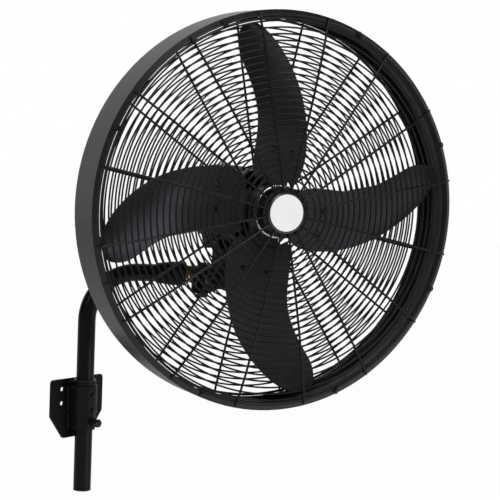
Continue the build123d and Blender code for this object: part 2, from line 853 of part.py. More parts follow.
def front_screw_place():
    """On the sloping rim, square to its face."""
    face = -(drum_r - screw_radius) * rim_slope
    return Pos(screw_radius, face, 0) * Rot(0, 0, rim_angle)


def make_front_grille_clips():
    """Steel clips on the rim. Each has a jaw over the guard's outermost ring and a hole for its screw."""
    across = edge_ring_r - screw_radius
    drop = front_edge_depth() + (drum_r - screw_radius) * rim_slope
    ring_along = across * cos(radians(rim_angle)) + drop * sin(radians(rim_angle))
    ring_behind = drop * cos(radians(rim_angle)) - across * sin(radians(rim_angle))
    jaw_start = ring_along - clip_jaw / 2
    jaw_foot = ring_behind - edge_wire_r - seat_gap
    half = clip_width / 2
    clip = block(jaw_start, clip_outer, -rim_seat - clip_thick, -rim_seat, -half, half)
    clip += block(jaw_start, jaw_start + clip_jaw, -rim_seat - clip_thick, jaw_foot, -half, half)
    clip -= rod_y(screw_r + weld_gap, -9, 9)
    return group(about_y(turn) * front_screw_place() * clip for turn in front_screw_turns())


def make_front_grille_screws():
    """Pan head screws that hold the front grille's clips on the rim."""
    under = -rim_seat - clip_thick - seat_gap
    screw = rod_y(screw_head_r, under - screw_head, under) + rod_y(screw_r, under - 1, 6)
    return group(about_y(turn) * front_screw_place() * screw for turn in front_screw_turns())


def make_rear_grille_screws():
    """Pan head screws that hold the rear grille's spokes on the flange."""
    under = rear_spoke_y + spoke_wire_r + seat_gap
    screw = rod_y(screw_head_r, under, under + screw_head) + rod_y(screw_r, drum_depth - 7, under + 1)
    return group(about_y(turn) * Pos(screw_radius, 0, 0) * screw for turn in rear_screw_turns())


# ---------------------------------------------------------------- grilles
def front_surface(radius):
    """Depth of the front spokes' centreline: nearly flat in the middle and falling to the rim."""
    share = radius / edge_ring_r
    return -front_rise + (front_rise - front_edge_rise) * share ** 4


def wire_ring(radius, wire, depth):
    """A ring of wire about the fan's axis. Its section has twelve sides, which keeps the guards' meshes light."""
    section = Pos(radius, depth) * RegularPolygon(wire, ring_sides)
    return revolve(section, Axis.Y)


def ring_radii(first, pitch):
    last = edge_ring_r - edge_wire_r - ring_wire_r - ring_clear
    count = int((last - first) / pitch) + 1
    return [first + index * pitch for index in range(count)]


def wire_spoke(points, bend):
    """A round wire in the XY plane through the points, with bent corners."""
    path = FilletPolyline(*points, radius=bend) if len(points) > 2 else Line(*points)
    (x0, y0), (x1, y1) = points[0], points[1]
    length = hypot(x1 - x0, y1 - y0)
    start = Plane(origin=(x0, y0, 0), z_dir=((x1 - x0) / length, (y1 - y0) / length, 0))
    return sweep(start * Circle(spoke_wire_r), path=path)


def front_spoke_points():
    """Corners of a front spoke: along the dome, and then flat on the rim's sloping face."""
    rim_y = -(drum_r - front_spoke_end) * rim_slope
    end_y = rim_y - (spoke_wire_r + rim_seat) / cos(radians(rim_angle))
    foot_r = drum_r - rim_width + hem_r
    foot_y = -rim_rise - (spoke_wire_r + rim_seat) / cos(radians(rim_angle))
    reach = [front_spoke_start, 0.33 * edge_ring_r, 0.62 * edge_ring_r, 0.86 * edge_ring_r]
    points = [(radius, front_surface(radius)) for radius in reach]
    return points + [(foot_r, foot_y), (front_spoke_end, end_y)]


def front_edge_depth():
    """Depth of the outermost ring, which lies under the spokes just inside the rim."""
    return polyline_depth(front_spoke_points(), edge_ring_r) + spoke_wire_r + edge_wire_r + 4 * weld_gap


def make_front_grille():
    """Domed guard: rings on the blade side of sixteen spokes, which end on the drum's rim."""
    points = front_spoke_points()
    spoke = wire_spoke(points, 12.0)
    solids = [about_y(spoke_phase + index * 360 / spokes) * spoke for index in range(spokes)]
    for radius in ring_radii(front_ring_first, front_ring_pitch):
        depth = polyline_depth(points, radius) + ring_behind_spoke
        solids.append(wire_ring(radius, ring_wire_r, depth))
    solids.append(wire_ring(edge_ring_r, edge_wire_r, front_edge_depth()))
    return group(solids)


def polyline_depth(points, radius):
    """Depth of a spoke's centreline at a radius."""
    for (r0, y0), (r1, y1) in zip(points, points[1:]):
        if radius <= r1:
            return y0 + (y1 - y0) * (radius - r0) / (r1 - r0)
    return points[-1][1]


def make_rear_grille():
    """Flat guard on the drum's rear flange: rings behind sixteen spokes, with the motor's disc in its middle."""
    spoke = wire_spoke([(rear_spoke_start, rear_spoke_y), (rear_spoke_end, rear_spoke_y)], 0)
    solids = [about_y(spoke_phase + index * 360 / spokes) * spoke for index in range(spokes)]
    for radius in ring_radii(rear_ring_first, rear_ring_pitch):
        solids.append(wire_ring(radius, ring_wire_r, rear_spoke_y + ring_behind_spoke))
    edge_depth = rear_spoke_y - spoke_wire_r - edge_wire_r - weld_gap
    solids.append(wire_ring(edge_ring_r, edge_wire_r, edge_depth))
    return group(solids)


def disc_screw_radius():
    return (centre_disc_hole_r + rear_spoke_start) / 2


def disc_screw_turns():
    return [spoke_phase + 90 * index for index in range(4)]


def make_rear_centre_disc():
    """Steel disc that joins the rear grille to the motor."""
    disc = ring_y(centre_disc_r, centre_disc_hole_r, centre_disc_front, centre_disc_front + centre_disc_thick)
    for turn in disc_screw_turns():
        hole = Pos(disc_screw_radius(), 0, 0) * rod_y(screw_r + weld_gap, centre_disc_front - 1, shield_front)
        disc -= about_y(turn) * hole
    return disc


def make_disc_screws():
    under = centre_disc_front - weld_gap
    screw = rod_y(screw_head_r, under - screw_head, under) + rod_y(screw_r, under - 1, shield_front + 8)
    return group(about_y(turn) * Pos(disc_screw_radius(), 0, 0) * screw for turn in disc_screw_turns())


def centre_plate_front():
    return front_surface(front_spoke_start) + spoke_wire_r + plate_seat


def make_front_centre_plate():
    """Pressed plate behind the spokes, which the badge is fixed to."""
    start = centre_plate_front()
    plate = rod_y(centre_plate_r, start, start + centre_plate_thick)
    return plate - rod_y(screw_r + weld_gap, start - 1, start + centre_plate_thick + 1)


def make_badge_rim():
    """Round plastic rim on the centre plate, inside the ring of the spokes' ends."""
    back = centre_plate_front() - weld_gap
    rim = rod_y(badge_rim_r, back - badge_rim_height, back)
    rim = chamfer(rim.faces().sort_by(Axis.Y)[0].edges(), 3.0)
    rim -= rod_y(badge_r + weld_gap, back - badge_rim_height - 1, back - badge_rim_height + badge_thick)
    rim -= rod_y(screw_r + weld_gap, back - badge_screw_bite, back + 1)
    return rim


def make_badge_disc():
    """Plain disc let into the rim."""
    back = centre_plate_front() - weld_gap
    floor = back - badge_rim_height + badge_thick - weld_gap
    return rod_y(badge_r, floor - badge_thick, floor)


def make_badge_screw():
    """Bolt from the centre plate into the badge rim."""
    under = centre_plate_front() + centre_plate_thick + weld_gap
    shank_end = centre_plate_front() - badge_screw_bite
    return rod_y(screw_head_r, under, under + screw_head) + rod_y(screw_r, shank_end, under + 1)


# ---------------------------------------------------------------- rotor
def blade_point(radius, arc, share):
    """Point on the blade's front face; share runs from the leading to the trailing edge."""
    angle = arc / radius
    across = radius * sin(angle)
    reach = smooth_step(radius, camber_from, drum_r)
    bulge = camber * smooth_step(radius, camber_from, camber_full) * (1 - (2 * share - 1) ** 2)
    slope = blade_slope + tip_slope * reach
    depth = blade_depth + tip_sweep_back * reach - slope * across + bulge
    return Vector(radius * cos(angle), depth, across)


def rivet_frame():
    """The blade's root plane: X along the arm, Y square to the plane."""
    return Pos(0, blade_depth, 0) * Rot(blade_tilt, 0, 0)


def rivet_places():
    return [(rivet_radius, -rivet_offset), (rivet_radius, rivet_offset)]


def make_blade(index):
    """Pressed sheet blade, twisted and cambered, riveted to its arm."""
    grid = []
    for span_share, leading, trailing in blade_stations:
        radius = blade_root_r + span_share * (blade_tip_r - blade_root_r)
        row = []
        for step in range(chord_points):
            share = step / (chord_points - 1)
            row.append(blade_point(radius, leading + (trailing - leading) * share, share))
        grid.append(row)
    face = Face.make_surface_from_array_of_points(grid, tol=0.05)
    blade = Solid.thicken(face, blade_thick, normal_override=(0, 1, 0))
    for x, z in rivet_places():
        blade -= rivet_frame() * Pos(x, 0, z) * rod_y(rivet_r + weld_gap, -5, blade_thick + 5)
    return about_y(blade_phase + index * 360 / blades) * blade


def make_hub():
    """Cast hub: boss, web, raised front rim and four flat arms behind the blades."""
    hub = rod_y(hub_r, hub_web_front, hub_web_back)
    hub += ring_y(hub_r, hub_r - hub_rim, hub_front, hub_web_front + 1)
    hub += rod_y(boss_r, shaft_front + shaft_nut_thick + seat_gap, boss_back)
    arm_front = blade_thick + blade_seat
    arm_back = arm_front + arm_plate_thick
    half = arm_plate_width / 2
    for index in range(blades):
        arm = block(boss_r, arm_plate_end, arm_front, arm_back, -half, half)
        arm = fillet(arm.edges().filter_by(Axis.Y).sort_by(Axis.X)[-2:], 14.0)
        for x, z in rivet_places():
            arm -= Pos(x, 0, z) * rod_y(rivet_r + weld_gap, arm_front - 1, arm_back + 1)
        hub += about_y(blade_phase + index * 360 / blades) * rivet_frame() * arm
    hub -= rod_y(shaft_r + press_fit, shaft_front, boss_back + 1)
    return hub


def make_blade_rivets():
    """Eight rivets through the blades and the hub's arms."""
    back = blade_thick + blade_seat + arm_plate_thick + weld_gap
    rivet = rod_y(rivet_head_r, -rivet_head, -0.6)
    rivet = chamfer(rivet.faces().sort_by(Axis.Y)[0].edges(), 1.2)
    rivet += rod_y(rivet_r, -1, back + 1)
    rivet += rod_y(rivet_head_r - 1, back, back + rivet_head)
    rivets = []
    for index in range(blades):
        for x, z in rivet_places():
            rivets.append(about_y(blade_phase + index * 360 / blades) * rivet_frame() * Pos(x, 0, z) * rivet)
    return group(rivets)


def make_motor_shaft():
    return rod_y(shaft_r, shaft_front, shaft_back)


def make_shaft_nut():
    nut = hex_y(shaft_nut_flats, shaft_front, shaft_front + shaft_nut_thick)
    return nut - rod_y(shaft_r + press_fit, shaft_front - 1, shaft_front + shaft_nut_thick + 1)


def make_rotor_core():
    """Laminated rotor with its short-circuit rings."""
    end = core_start + core_length
    core = rod_y(core_r, core_start, end)
    core += rod_y(core_r - 3, core_start - end_ring_reach, end + end_ring_reach)
    return core - rod_y(shaft_r + press_fit, core_start - end_ring_reach - 1, end + end_ring_reach + 1)


# ---------------------------------------------------------------- placing and writing
pin_x = pin_along * sin(radians(arm_swing))
pin_y = pipe_y - pin_along * cos(radians(arm_swing))
arm_place = Pos(0, pipe_y, 0) * Rot(0, 0, arm_swing)
head_place = Pos(pin_x, pin_y, fan_z) * Rot(0, 0, head_pan) * Pos(0, -pin_depth, 0)

bracket_nodes = {
    "wall_plate": make_wall_plate(),
    "pipe_sleeve": make_pipe_sleeve(),
    "saddle_strap": make_saddle_strap(),
    "strap_bolts": make_strap_bolts(),
    "lock_bolt": make_lock_bolt(),
}
arm_nodes = {
    "sleeve_bush": make_sleeve_bush(),
    "arm_pipe": make_arm_pipe(),
    "pipe_end_plug": make_pipe_end_plug(),
    "arm_socket": make_arm_socket(),
    "socket_screws": make_socket_screws(),
    "knuckle_stud": make_knuckle_stud(),
    "knuckle_washer": make_knuckle_washer(),
    "knuckle_nut": make_knuckle_nut(),
    "knuckle_yoke": make_knuckle_yoke(),
    "swivel_pin": make_swivel_pin(),
    "swivel_nut": make_swivel_nut(),
}
head_nodes = {
    "swivel_link": make_swivel_link(),
    "tilt_bolt": make_tilt_bolt(),
    "tilt_nut": make_tilt_nut(),
    "motor_hanger": make_motor_hanger(),
    "hanger_bolts": make_hanger_bolts(),
    "motor_housing": drill_housing(make_motor_housing()),
    "front_shield": make_front_shield(),
    "rear_shield": make_rear_shield(),
    "shield_screws": make_shield_screws(),
    "front_bearing": bearing(shield_front + 3 + seat_gap),
    "rear_bearing": bearing(rear_shield_start + bearing_pocket - seat_gap - bearing_width),
    "stator_core": make_stator_core(),
    "stator_coils": make_stator_coils(),
    "junction_box": make_junction_box(),
    "junction_lid": make_junction_lid(),
    "lid_screws": make_lid_screws(),
    "run_capacitor": make_run_capacitor(),
    "terminal_block": make_terminal_block(),
    "cable_gland": make_cable_gland(),
    "rear_centre_disc": make_rear_centre_disc(),
    "disc_screws": make_disc_screws(),
    "rear_grille": make_rear_grille(),
    "rear_grille_screws": make_rear_grille_screws(),
    "drum_shell": make_drum_shell(),
    "front_grille": make_front_grille(),
    "front_grille_clips": make_front_grille_clips(),
    "front_grille_screws": make_front_grille_screws(),
    "front_centre_plate": make_front_centre_plate(),
    "badge_screw": make_badge_screw(),
    "badge_rim": make_badge_rim(),
    "badge_disc": make_badge_disc(),
    "motor_shaft": make_motor_shaft(),
    "rotor_core": make_rotor_core(),
    "hub": make_hub(),
    "shaft_nut": make_shaft_nut(),
    "blade_rivets": make_blade_rivets(),
}
for blade_index in range(blades):
    head_nodes[f"blade_{blade_index + 1}"] = make_blade(blade_index)

os.makedirs("parts", exist_ok=True)
for name, shape in bracket_nodes.items():
    export_step(shape, f"parts/{name}.step")
for name, shape in arm_nodes.items():
    export_step(arm_place * shape, f"parts/{name}.step")
for name, shape in head_nodes.items():
    export_step(head_place * shape, f"parts/{name}.step")
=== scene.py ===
"""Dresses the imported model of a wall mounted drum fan: a finish for every CAD node, finer turned, moulded and
welded pieces where the view comes close, and the floor, lamps and camera."""
import json
from math import atan, cos, pi, radians, sin

import bpy
import numpy as np
from mathutils import Matrix, Vector


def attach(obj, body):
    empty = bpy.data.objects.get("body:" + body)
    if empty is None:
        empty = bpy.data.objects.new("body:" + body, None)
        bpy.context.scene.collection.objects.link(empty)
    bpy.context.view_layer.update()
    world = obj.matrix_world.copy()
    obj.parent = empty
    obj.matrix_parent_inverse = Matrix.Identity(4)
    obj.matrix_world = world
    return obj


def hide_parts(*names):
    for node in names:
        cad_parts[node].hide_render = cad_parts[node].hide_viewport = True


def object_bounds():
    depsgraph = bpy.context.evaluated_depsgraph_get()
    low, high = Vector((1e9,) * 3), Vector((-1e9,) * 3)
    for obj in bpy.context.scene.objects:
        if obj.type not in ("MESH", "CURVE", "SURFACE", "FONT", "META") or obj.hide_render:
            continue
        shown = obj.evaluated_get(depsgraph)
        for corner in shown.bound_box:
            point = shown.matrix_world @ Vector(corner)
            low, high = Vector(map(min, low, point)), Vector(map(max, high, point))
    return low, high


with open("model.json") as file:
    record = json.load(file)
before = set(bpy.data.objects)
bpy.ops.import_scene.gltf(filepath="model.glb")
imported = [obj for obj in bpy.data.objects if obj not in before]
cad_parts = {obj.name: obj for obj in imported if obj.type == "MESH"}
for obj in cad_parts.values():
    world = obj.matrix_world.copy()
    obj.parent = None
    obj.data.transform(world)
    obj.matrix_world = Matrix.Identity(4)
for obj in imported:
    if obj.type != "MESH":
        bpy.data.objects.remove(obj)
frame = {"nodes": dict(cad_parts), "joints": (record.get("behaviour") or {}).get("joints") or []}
cad_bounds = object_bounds()

# ---------------------------------------------------------------- Viewpoint
# The photograph is taken from the left of the fan's axis and a little above its centre, with the camera
# tipped by a few degrees. Left and right are meant as someone sees them who faces the fan. Angles count from
# the fan's own axis, and the distance from the middle of the drum's front.
joints = {joint["name"]: joint for joint in frame["joints"]}
drum_centre = Vector(joints["fan_spin"]["pos_m"])
fan_forward = Vector(joints["fan_spin"]["axis"]).normalized()
fan_side = Vector((-fan_forward.y, fan_forward.x, 0))
upwards = Vector((0, 0, 1))
camera_distance = 3.239
camera_angles = (27.658, 3.998)
look_angles = (26.652, 5.359)
camera_tip = radians(2.2)
focal_pixels = 1647.0
image_pixels = 500
sensor_mm = 36.0
far_clip = 60.0


def viewer_direction(azimuth, elevation):
    """Unit vector from the fan towards a viewer: its forward direction, turned to the left by the azimuth and
    raised by the elevation, both in degrees."""
    a = radians(azimuth)
    e = radians(elevation)
    return fan_forward * cos(a) * cos(e) - fan_side * sin(a) * cos(e) + upwards * sin(e)


camera_place = drum_centre + viewer_direction(*camera_angles) * camera_distance
look = -viewer_direction(*look_angles)
level_right = look.cross(upwards).normalized()
level_top = level_right.cross(look)
camera_right = level_right * cos(camera_tip) + level_top * sin(camera_tip)
camera_top = level_top * cos(camera_tip) - level_right * sin(camera_tip)
camera_turn = Matrix((camera_right, camera_top, -look)).transposed().to_4x4()
camera = bpy.data.objects.new("camera", bpy.data.cameras.new("camera"))
camera.data.sensor_width = sensor_mm
camera.data.lens = focal_pixels * sensor_mm / image_pixels
camera.data.clip_end = far_clip
camera.matrix_world = Matrix.Translation(camera_place) @ camera_turn
bpy.context.scene.collection.objects.link(camera)
bpy.context.scene.camera = camera
bpy.context.scene.view_settings.view_transform = "Standard"


# ---------------------------------------------------------------- Floor
# A pale studio floor well below the fan. The camera sees it almost pure white, with a trace of the fan's
# shadow. It has the first finish, so the small classes that every finish is written with come here.
class Wire:
    """One socket of a node tree. Sums, differences and products of wires and numbers add Math nodes."""

    def __init__(self, nodes, made, socket):
        self.nodes = nodes
        self.made = made
        self.socket = socket

    def __getitem__(self, name):
        return Wire(self.nodes, self.made, self.made.outputs[name])

    def join(self, operation, first, second):
        return self.nodes.node("ShaderNodeMath", {"operation": operation}, {0: first, 1: second})

    def __add__(self, other):
        return self.join("ADD", self, other)

    def __sub__(self, other):
        return self.join("SUBTRACT", self, other)

    def __rsub__(self, other):
        return self.join("SUBTRACT", other, self)

    def __mul__(self, other):
        return self.join("MULTIPLY", self, other)

    __radd__ = __add__
    __rmul__ = __mul__

    def most(self, other):
        """The larger of the two."""
        return self.join("MAXIMUM", self, other)

    def above(self, low, high, bottom=0.0, top=1.0):
        """The bottom value up to low and the top value from high, smooth between."""
        sockets = {"Value": self, "From Min": low, "From Max": high, "To Min": bottom, "To Max": top}
        return self.nodes.node("ShaderNodeMapRange", {"interpolation_type": "SMOOTHSTEP"}, sockets)


class Nodes:
    """A node tree. node() adds any node, its settings first and then its sockets' values or wires."""

    def __init__(self, tree):
        self.tree = tree

    def node(self, kind, settings=None, sockets=None):
        made = self.tree.nodes.new(kind)
        for key, value in (settings or {}).items():
            setattr(made, key, value)
        for key, value in (sockets or {}).items():
            if isinstance(value, Wire):
                self.tree.links.new(value.socket, made.inputs[key])
            else:
                made.inputs[key].default_value = value
        return Wire(self, made, next(out for out in made.outputs if out.enabled))

    def dot(self, first, second):
        """The dot product of two vectors."""
        return self.node("ShaderNodeVectorMath", {"operation": "DOT_PRODUCT"}, {0: first, 1: second})["Value"]


class Finish(Nodes):
    """A material: colours are red, green and blue, lengths are in metres, and patterns lie on the piece."""

    def __init__(self, name, colour, roughness, **fixed):
        self.material = bpy.data.materials.new(name)
        self.material.use_nodes = True
        super().__init__(self.material.node_tree)
        self.shader = self.tree.nodes["Principled BSDF"]
        self.shader.inputs["Base Color"].default_value = (*colour, 1)
        self.shader.inputs["Roughness"].default_value = roughness
        for socket, value in fixed.items():
            self.shader.inputs[socket.replace("_", " ")].default_value = value
        self.point = self.node("ShaderNodeTexCoord")["Object"]

    def feed(self, **wires):
        for socket, wire in wires.items():
            self.tree.links.new(wire.socket, self.shader.inputs[socket.replace("_", " ")])
        return self

    def noise(self, blobs, detail=3.0, rough=0.55):
        """Cloudy noise from 0 to 1, with so many blobs to a metre, or so many along each of X, Y and Z."""
        point = self.point
        if isinstance(blobs, tuple):
            point = self.node("ShaderNodeMapping", None, {"Vector": point, "Scale": blobs})
            blobs = 1.0
        sockets = {"Vector": point, "Scale": blobs, "Detail": detail, "Roughness": rough}
        return self.node("ShaderNodeTexNoise", None, sockets)

    def mix(self, mask, first, second):
        """The first colour where the mask is 0 and the second where it is 1."""
        ends = [colour if isinstance(colour, Wire) else (*colour, 1) for colour in (first, second)]
        made = self.node("ShaderNodeMix", {"data_type": "RGBA"}, {0: mask, 6: ends[0], 7: ends[1]}).made
        return Wire(self, made, made.outputs[2])

    def bump(self, height, distance, strength=1.0, normal=None):
        """The normal over bumps as high as the distance where the height is 1."""
        sockets = {"Height": height, "Distance": distance, "Strength": strength}
        if normal:
            sockets["Normal"] = normal
        return self.node("ShaderNodeBump", None, sockets)

    def edges(self, width):
        """A normal that rounds sharp edges over that width, and a mask that is 1 where it leans away."""
        rounded = self.node("ShaderNodeBevel", {"samples": 4}, {"Radius": width})
        plain = self.node("ShaderNodeNewGeometry")["Normal"]
        return rounded, (1 - self.dot(rounded, plain)).above(0.02, 0.25)


floor_drop = 0.75
floor_reach = 14.0
floor_glow_share = 0.97
floor_finish = Finish("studio_floor", (0.86, 0.86, 0.86), roughness=0.6)
floor_clouds = floor_finish.noise(3.0).above(0.2, 0.9)
floor_finish.feed(Base_Color=floor_finish.mix(floor_clouds, (0.84, 0.84, 0.84), (0.88, 0.88, 0.88)))
floor_glow = floor_finish.node("ShaderNodeEmission", None, {"Color": (1, 1, 1, 1), "Strength": 1.0})
floor_rays = floor_finish.node("ShaderNodeLightPath")
floor_seen = floor_rays["Is Camera Ray"] + floor_rays["Is Transmission Ray"]
floor_glowing = floor_seen * floor_glow_share
floor_shown = floor_finish.node("ShaderNodeMixShader", None, {0: floor_glowing, 2: floor_glow})
floor_finish.tree.links.new(floor_finish.shader.outputs[0], floor_shown.made.inputs[1])
floor_finish.tree.links.new(floor_shown.socket, floor_finish.tree.nodes["Material Output"].inputs["Surface"])
floor_z = cad_bounds[0][2] - floor_drop
floor_corners = [(x * floor_reach, y * floor_reach, floor_z) for x, y in ((-1, -1), (1, -1), (1, 1), (-1, 1))]
floor_mesh = bpy.data.meshes.new("floor")
floor_mesh.from_pydata(floor_corners, [], [(0, 1, 2, 3)])
floor_mesh.materials.append(floor_finish.material)
floor = bpy.data.objects.new("floor", floor_mesh)
bpy.context.scene.collection.objects.link(floor)

# ---------------------------------------------------------------- Surroundings and lamps
# The surroundings are white where they are seen, and dimmer as plain light on the fan. In glossy coats they
# are darker in front of the fan and below it. Five soft lamps stand round the fan.
ambient = 0.5
front_dark = 0.08
low_dark = 0.3
high_bright = 0.88
world = bpy.data.worlds.new("studio")
world.use_nodes = True
bpy.context.scene.world = world
studio = Nodes(world.node_tree)
rays = studio.node("ShaderNodeLightPath")
way = studio.node("ShaderNodeTexCoord")["Generated"]
way_rise = studio.node("ShaderNodeSeparateXYZ", None, {0: way})["Z"]
behind_fan = studio.dot(way, tuple(look)).above(0.1, 0.9, bottom=front_dark)
mirrored = behind_fan * way_rise.above(-0.6, 0.1, bottom=low_dark, top=high_bright)
seen = rays["Is Camera Ray"].most(rays["Is Transmission Ray"])
shining = seen.most(rays["Is Glossy Ray"] * mirrored).most(rays["Is Diffuse Ray"] * ambient)
background = studio.tree.nodes["Background"]
background.inputs["Color"].default_value = (1, 1, 1, 1)
studio.tree.links.new(shining.socket, background.inputs["Strength"])


def lamp(name, azimuth, elevation, distance, size, watts):
    """A square soft lamp that points at the drum, placed by the same angles as the camera."""
    light = bpy.data.lights.new(name, "AREA")
    light.energy = watts
    light.size = size
    towards = viewer_direction(azimuth, elevation)
    facing = towards.to_track_quat("Z", "Y").to_matrix().to_4x4()
    holder = bpy.data.objects.new(name, light)
    holder.matrix_world = Matrix.Translation(drum_centre + towards * distance) @ facing
    bpy.context.scene.collection.objects.link(holder)


lamp("key_lamp", azimuth=4.0, elevation=38.0, distance=3.2, size=1.5, watts=50.0)
lamp("fill_lamp", azimuth=76.0, elevation=14.0, distance=3.4, size=1.2, watts=9.0)
lamp("low_lamp", azimuth=4.0, elevation=-50.0, distance=3.2, size=1.8, watts=30.0)
lamp("side_lamp", azimuth=-38.0, elevation=-26.0, distance=3.4, size=2.0, watts=21.0)
lamp("back_lamp", azimuth=-135.0, elevation=38.0, distance=3.4, size=2.2, watts=22.0)


# ---------------------------------------------------------------- Wall plate, sleeve and strap
# Laser cut steel plate, a thick tube and an omega strap, welded and bolted up, then powder coated together.
# The coat is satin black with a fine orange peel. It is thin on the edges, and dust lies on what faces up.
def scaled(colour, by):
    """The colour with each channel times a number, or times that channel's own number."""
    return tuple(np.multiply(colour, by))


def coated(name, colour, roughness, peel=0.00006, specular=0.28):
    """Powder coat: clouds in the tone and the gloss, orange peel from a fine and a coarse noise, sharp edges
    rubbed paler in patches, and patchy dust on faces that point up."""
    rub_width = 0.0012
    rub_share = 0.35
    rub_colour = (0.12, 0.12, 0.122)
    dust_share = 0.04
    dust_colour = (0.2, 0.19, 0.18)
    coat = Finish(name, colour, roughness=roughness, Specular_IOR_Level=specular)
    clouds = coat.noise(9.0, detail=4.0, rough=0.6)
    rounded, rim = coat.edges(width=rub_width)
    normal = coat.node("ShaderNodeNewGeometry")["Normal"]
    up_facing = coat.node("ShaderNodeSeparateXYZ", None, {0: normal})["Z"].above(0.2, 0.95)
    dusty = up_facing * coat.noise(38.0, detail=5.0, rough=0.7).above(0.35, 0.75) * dust_share
    rubbed = rim * coat.noise(70.0, detail=4.0, rough=0.6).above(0.45, 0.7) * rub_share
    tone = coat.mix(clouds.above(0.3, 0.7), scaled(colour, 0.75), scaled(colour, 1.3))
    tone = coat.mix(dusty, tone, dust_colour)
    tone = coat.mix(rubbed, tone, rub_colour)
    coarse = coat.noise(130.0, detail=1.0, rough=0.5)
    fine = coat.noise(420.0, detail=2.0, rough=0.5)
    waved = coat.bump(coarse, distance=peel * 3, strength=0.5, normal=rounded)
    peeled = coat.bump(fine, distance=peel, strength=0.7, normal=waved)
    gloss = clouds * 0.16 + (roughness - 0.08) + dusty * 0.5
    return coat.feed(Base_Color=tone, Roughness=gloss, Normal=peeled).material


def dress(finish, *names):
    """Gives CAD nodes a finish."""
    for name in names:
        node = frame["nodes"][name]
        node.data.materials.clear()
        node.data.materials.append(finish)


bracket_coat = coated("bracket_coat", (0.004, 0.004, 0.004), roughness=0.42, specular=0.2)
dress(bracket_coat, "wall_plate", "pipe_sleeve", "saddle_strap")


# ---------------------------------------------------------------- Welds between sleeve and plate
# Fillet welds run down the corners between the plate and the sleeve's cheeks, and between plate and strap.
# They are laid by hand, so the bead swells and narrows every few millimetres, and they are coated too.
# The sizes of every piece made here are in millimetres, as in the CAD.
MM = 0.001
wall_axes = np.eye(3)
pipe_centre = Vector(joints["arm_swivel"]["pos_m"])


def skin(name, grids, finish, body, replaces=(), origin=(0, 0, 0), axes=wall_axes, sharp=35.0):
    """One object from closed surfaces. A grid's rows run along the surface and its columns round it, in mm; a
    fan of triangles to the mean of the first and of the last row closes its ends. axes has the grid's X, Y
    and Z as rows, and edges that bend by more than the sharp angle stay sharp."""
    corners = []
    faces = []
    count = 0
    for grid in grids:
        points = np.asarray(grid, float) @ np.asarray(axes)
        rows, columns, _ = points.shape
        here = np.arange(rows * columns).reshape(rows, columns)
        beside = np.roll(here, -1, axis=1)
        quads = np.stack([here[:-1], beside[:-1], beside[1:], here[1:]], -1).reshape(-1, 4)
        first = np.stack([np.full(columns, rows * columns), beside[0], here[0]], -1)
        last = np.stack([np.full(columns, rows * columns + 1), here[-1], beside[-1]], -1)
        cloud = np.concatenate([points.reshape(-1, 3), points[0].mean(0)[None], points[-1].mean(0)[None]])
        fans = np.concatenate([first, last])
        halves = np.concatenate([quads[:, [0, 1, 2]], quads[:, [0, 2, 3]], fans])
        a, b, c = (cloud[halves[:, index]] for index in range(3))
        volume = np.einsum("ij,ij->i", a, np.cross(b, c)).sum()
        if volume < 0:
            quads = quads[:, ::-1]
            fans = fans[:, ::-1]
        corners.append(cloud)
        faces += (quads + count).tolist() + (fans + count).tolist()
        count += len(cloud)
    mesh = bpy.data.meshes.new(name)
    mesh.from_pydata((np.concatenate(corners) * MM + np.asarray(origin)).tolist(), [], faces)
    mesh.shade_smooth()
    mesh.set_sharp_from_angle(angle=radians(sharp))
    mesh.materials.append(finish)
    piece = bpy.data.objects.new(name, mesh)
    bpy.context.scene.collection.objects.link(piece)
    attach(piece, body)
    if replaces:
        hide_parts(*replaces)


def bead(start, end, radius, ripple, pitch):
    """A weld bead: a round bar from start to end. Its radius swells by the ripple once in each pitch, and
    falls as a quarter circle at both ends."""
    start = np.asarray(start, float)
    length = np.linalg.norm(np.asarray(end) - start)
    along = np.linspace(0, 1, int(length / pitch * 6))
    from_end = np.minimum(along, 1 - along) * length
    taper = np.sqrt(np.clip(1 - np.clip(1 - from_end / radius, 0, 1) ** 2, 0.02, 1))
    size = radius * taper * (1 + ripple * np.sin(2 * pi * along * length / pitch))
    turns = np.linspace(0, 2 * pi, 12, endpoint=False)
    centre = start + along[:, None] * (np.asarray(end) - start)
    flat = np.stack([np.cos(turns), np.sin(turns), 0 * turns], -1)
    return centre[:, None, :] + size[:, None, None] * flat


plate_front = -4.0
sleeve_side = 24.27
strap_side = 26.82
bead_r = 2.4
bead_off = 1.1
bead_ripple = 0.12
bead_pitch = 2.6
seams = [(sleeve_side, -70.0, -38.0), (strap_side, -34.0, 22.0), (sleeve_side, 26.0, 32.0)]
weld_beads = []
for side in (-1, 1):
    for reach, low, high in seams:
        ends = [(side * (reach + bead_off), plate_front - bead_off, z) for z in (low, high)]
        weld_beads.append(bead(*ends, bead_r, bead_ripple, bead_pitch))
weld_coat = coated("weld_coat", (0.005, 0.005, 0.005), roughness=0.4, peel=0.0001)
skin("bracket_welds", weld_beads, weld_coat, "bracket")


# ---------------------------------------------------------------- Strap bolts
# Two hexagon head bolts go through the strap's front into the sleeve. They are forged steel, blackened, with
# a chamfered head that bears on a round washer face; the shank is hidden in the sleeve's wall.
def round_axis(reach, angles, heights):
    """Points round the Z axis: X and Y are the reach times the angle's cosine and sine, Z is the height."""
    level = np.broadcast_to(heights, reach.shape)
    return np.stack([reach * np.cos(angles), reach * np.sin(angles), level], -1)


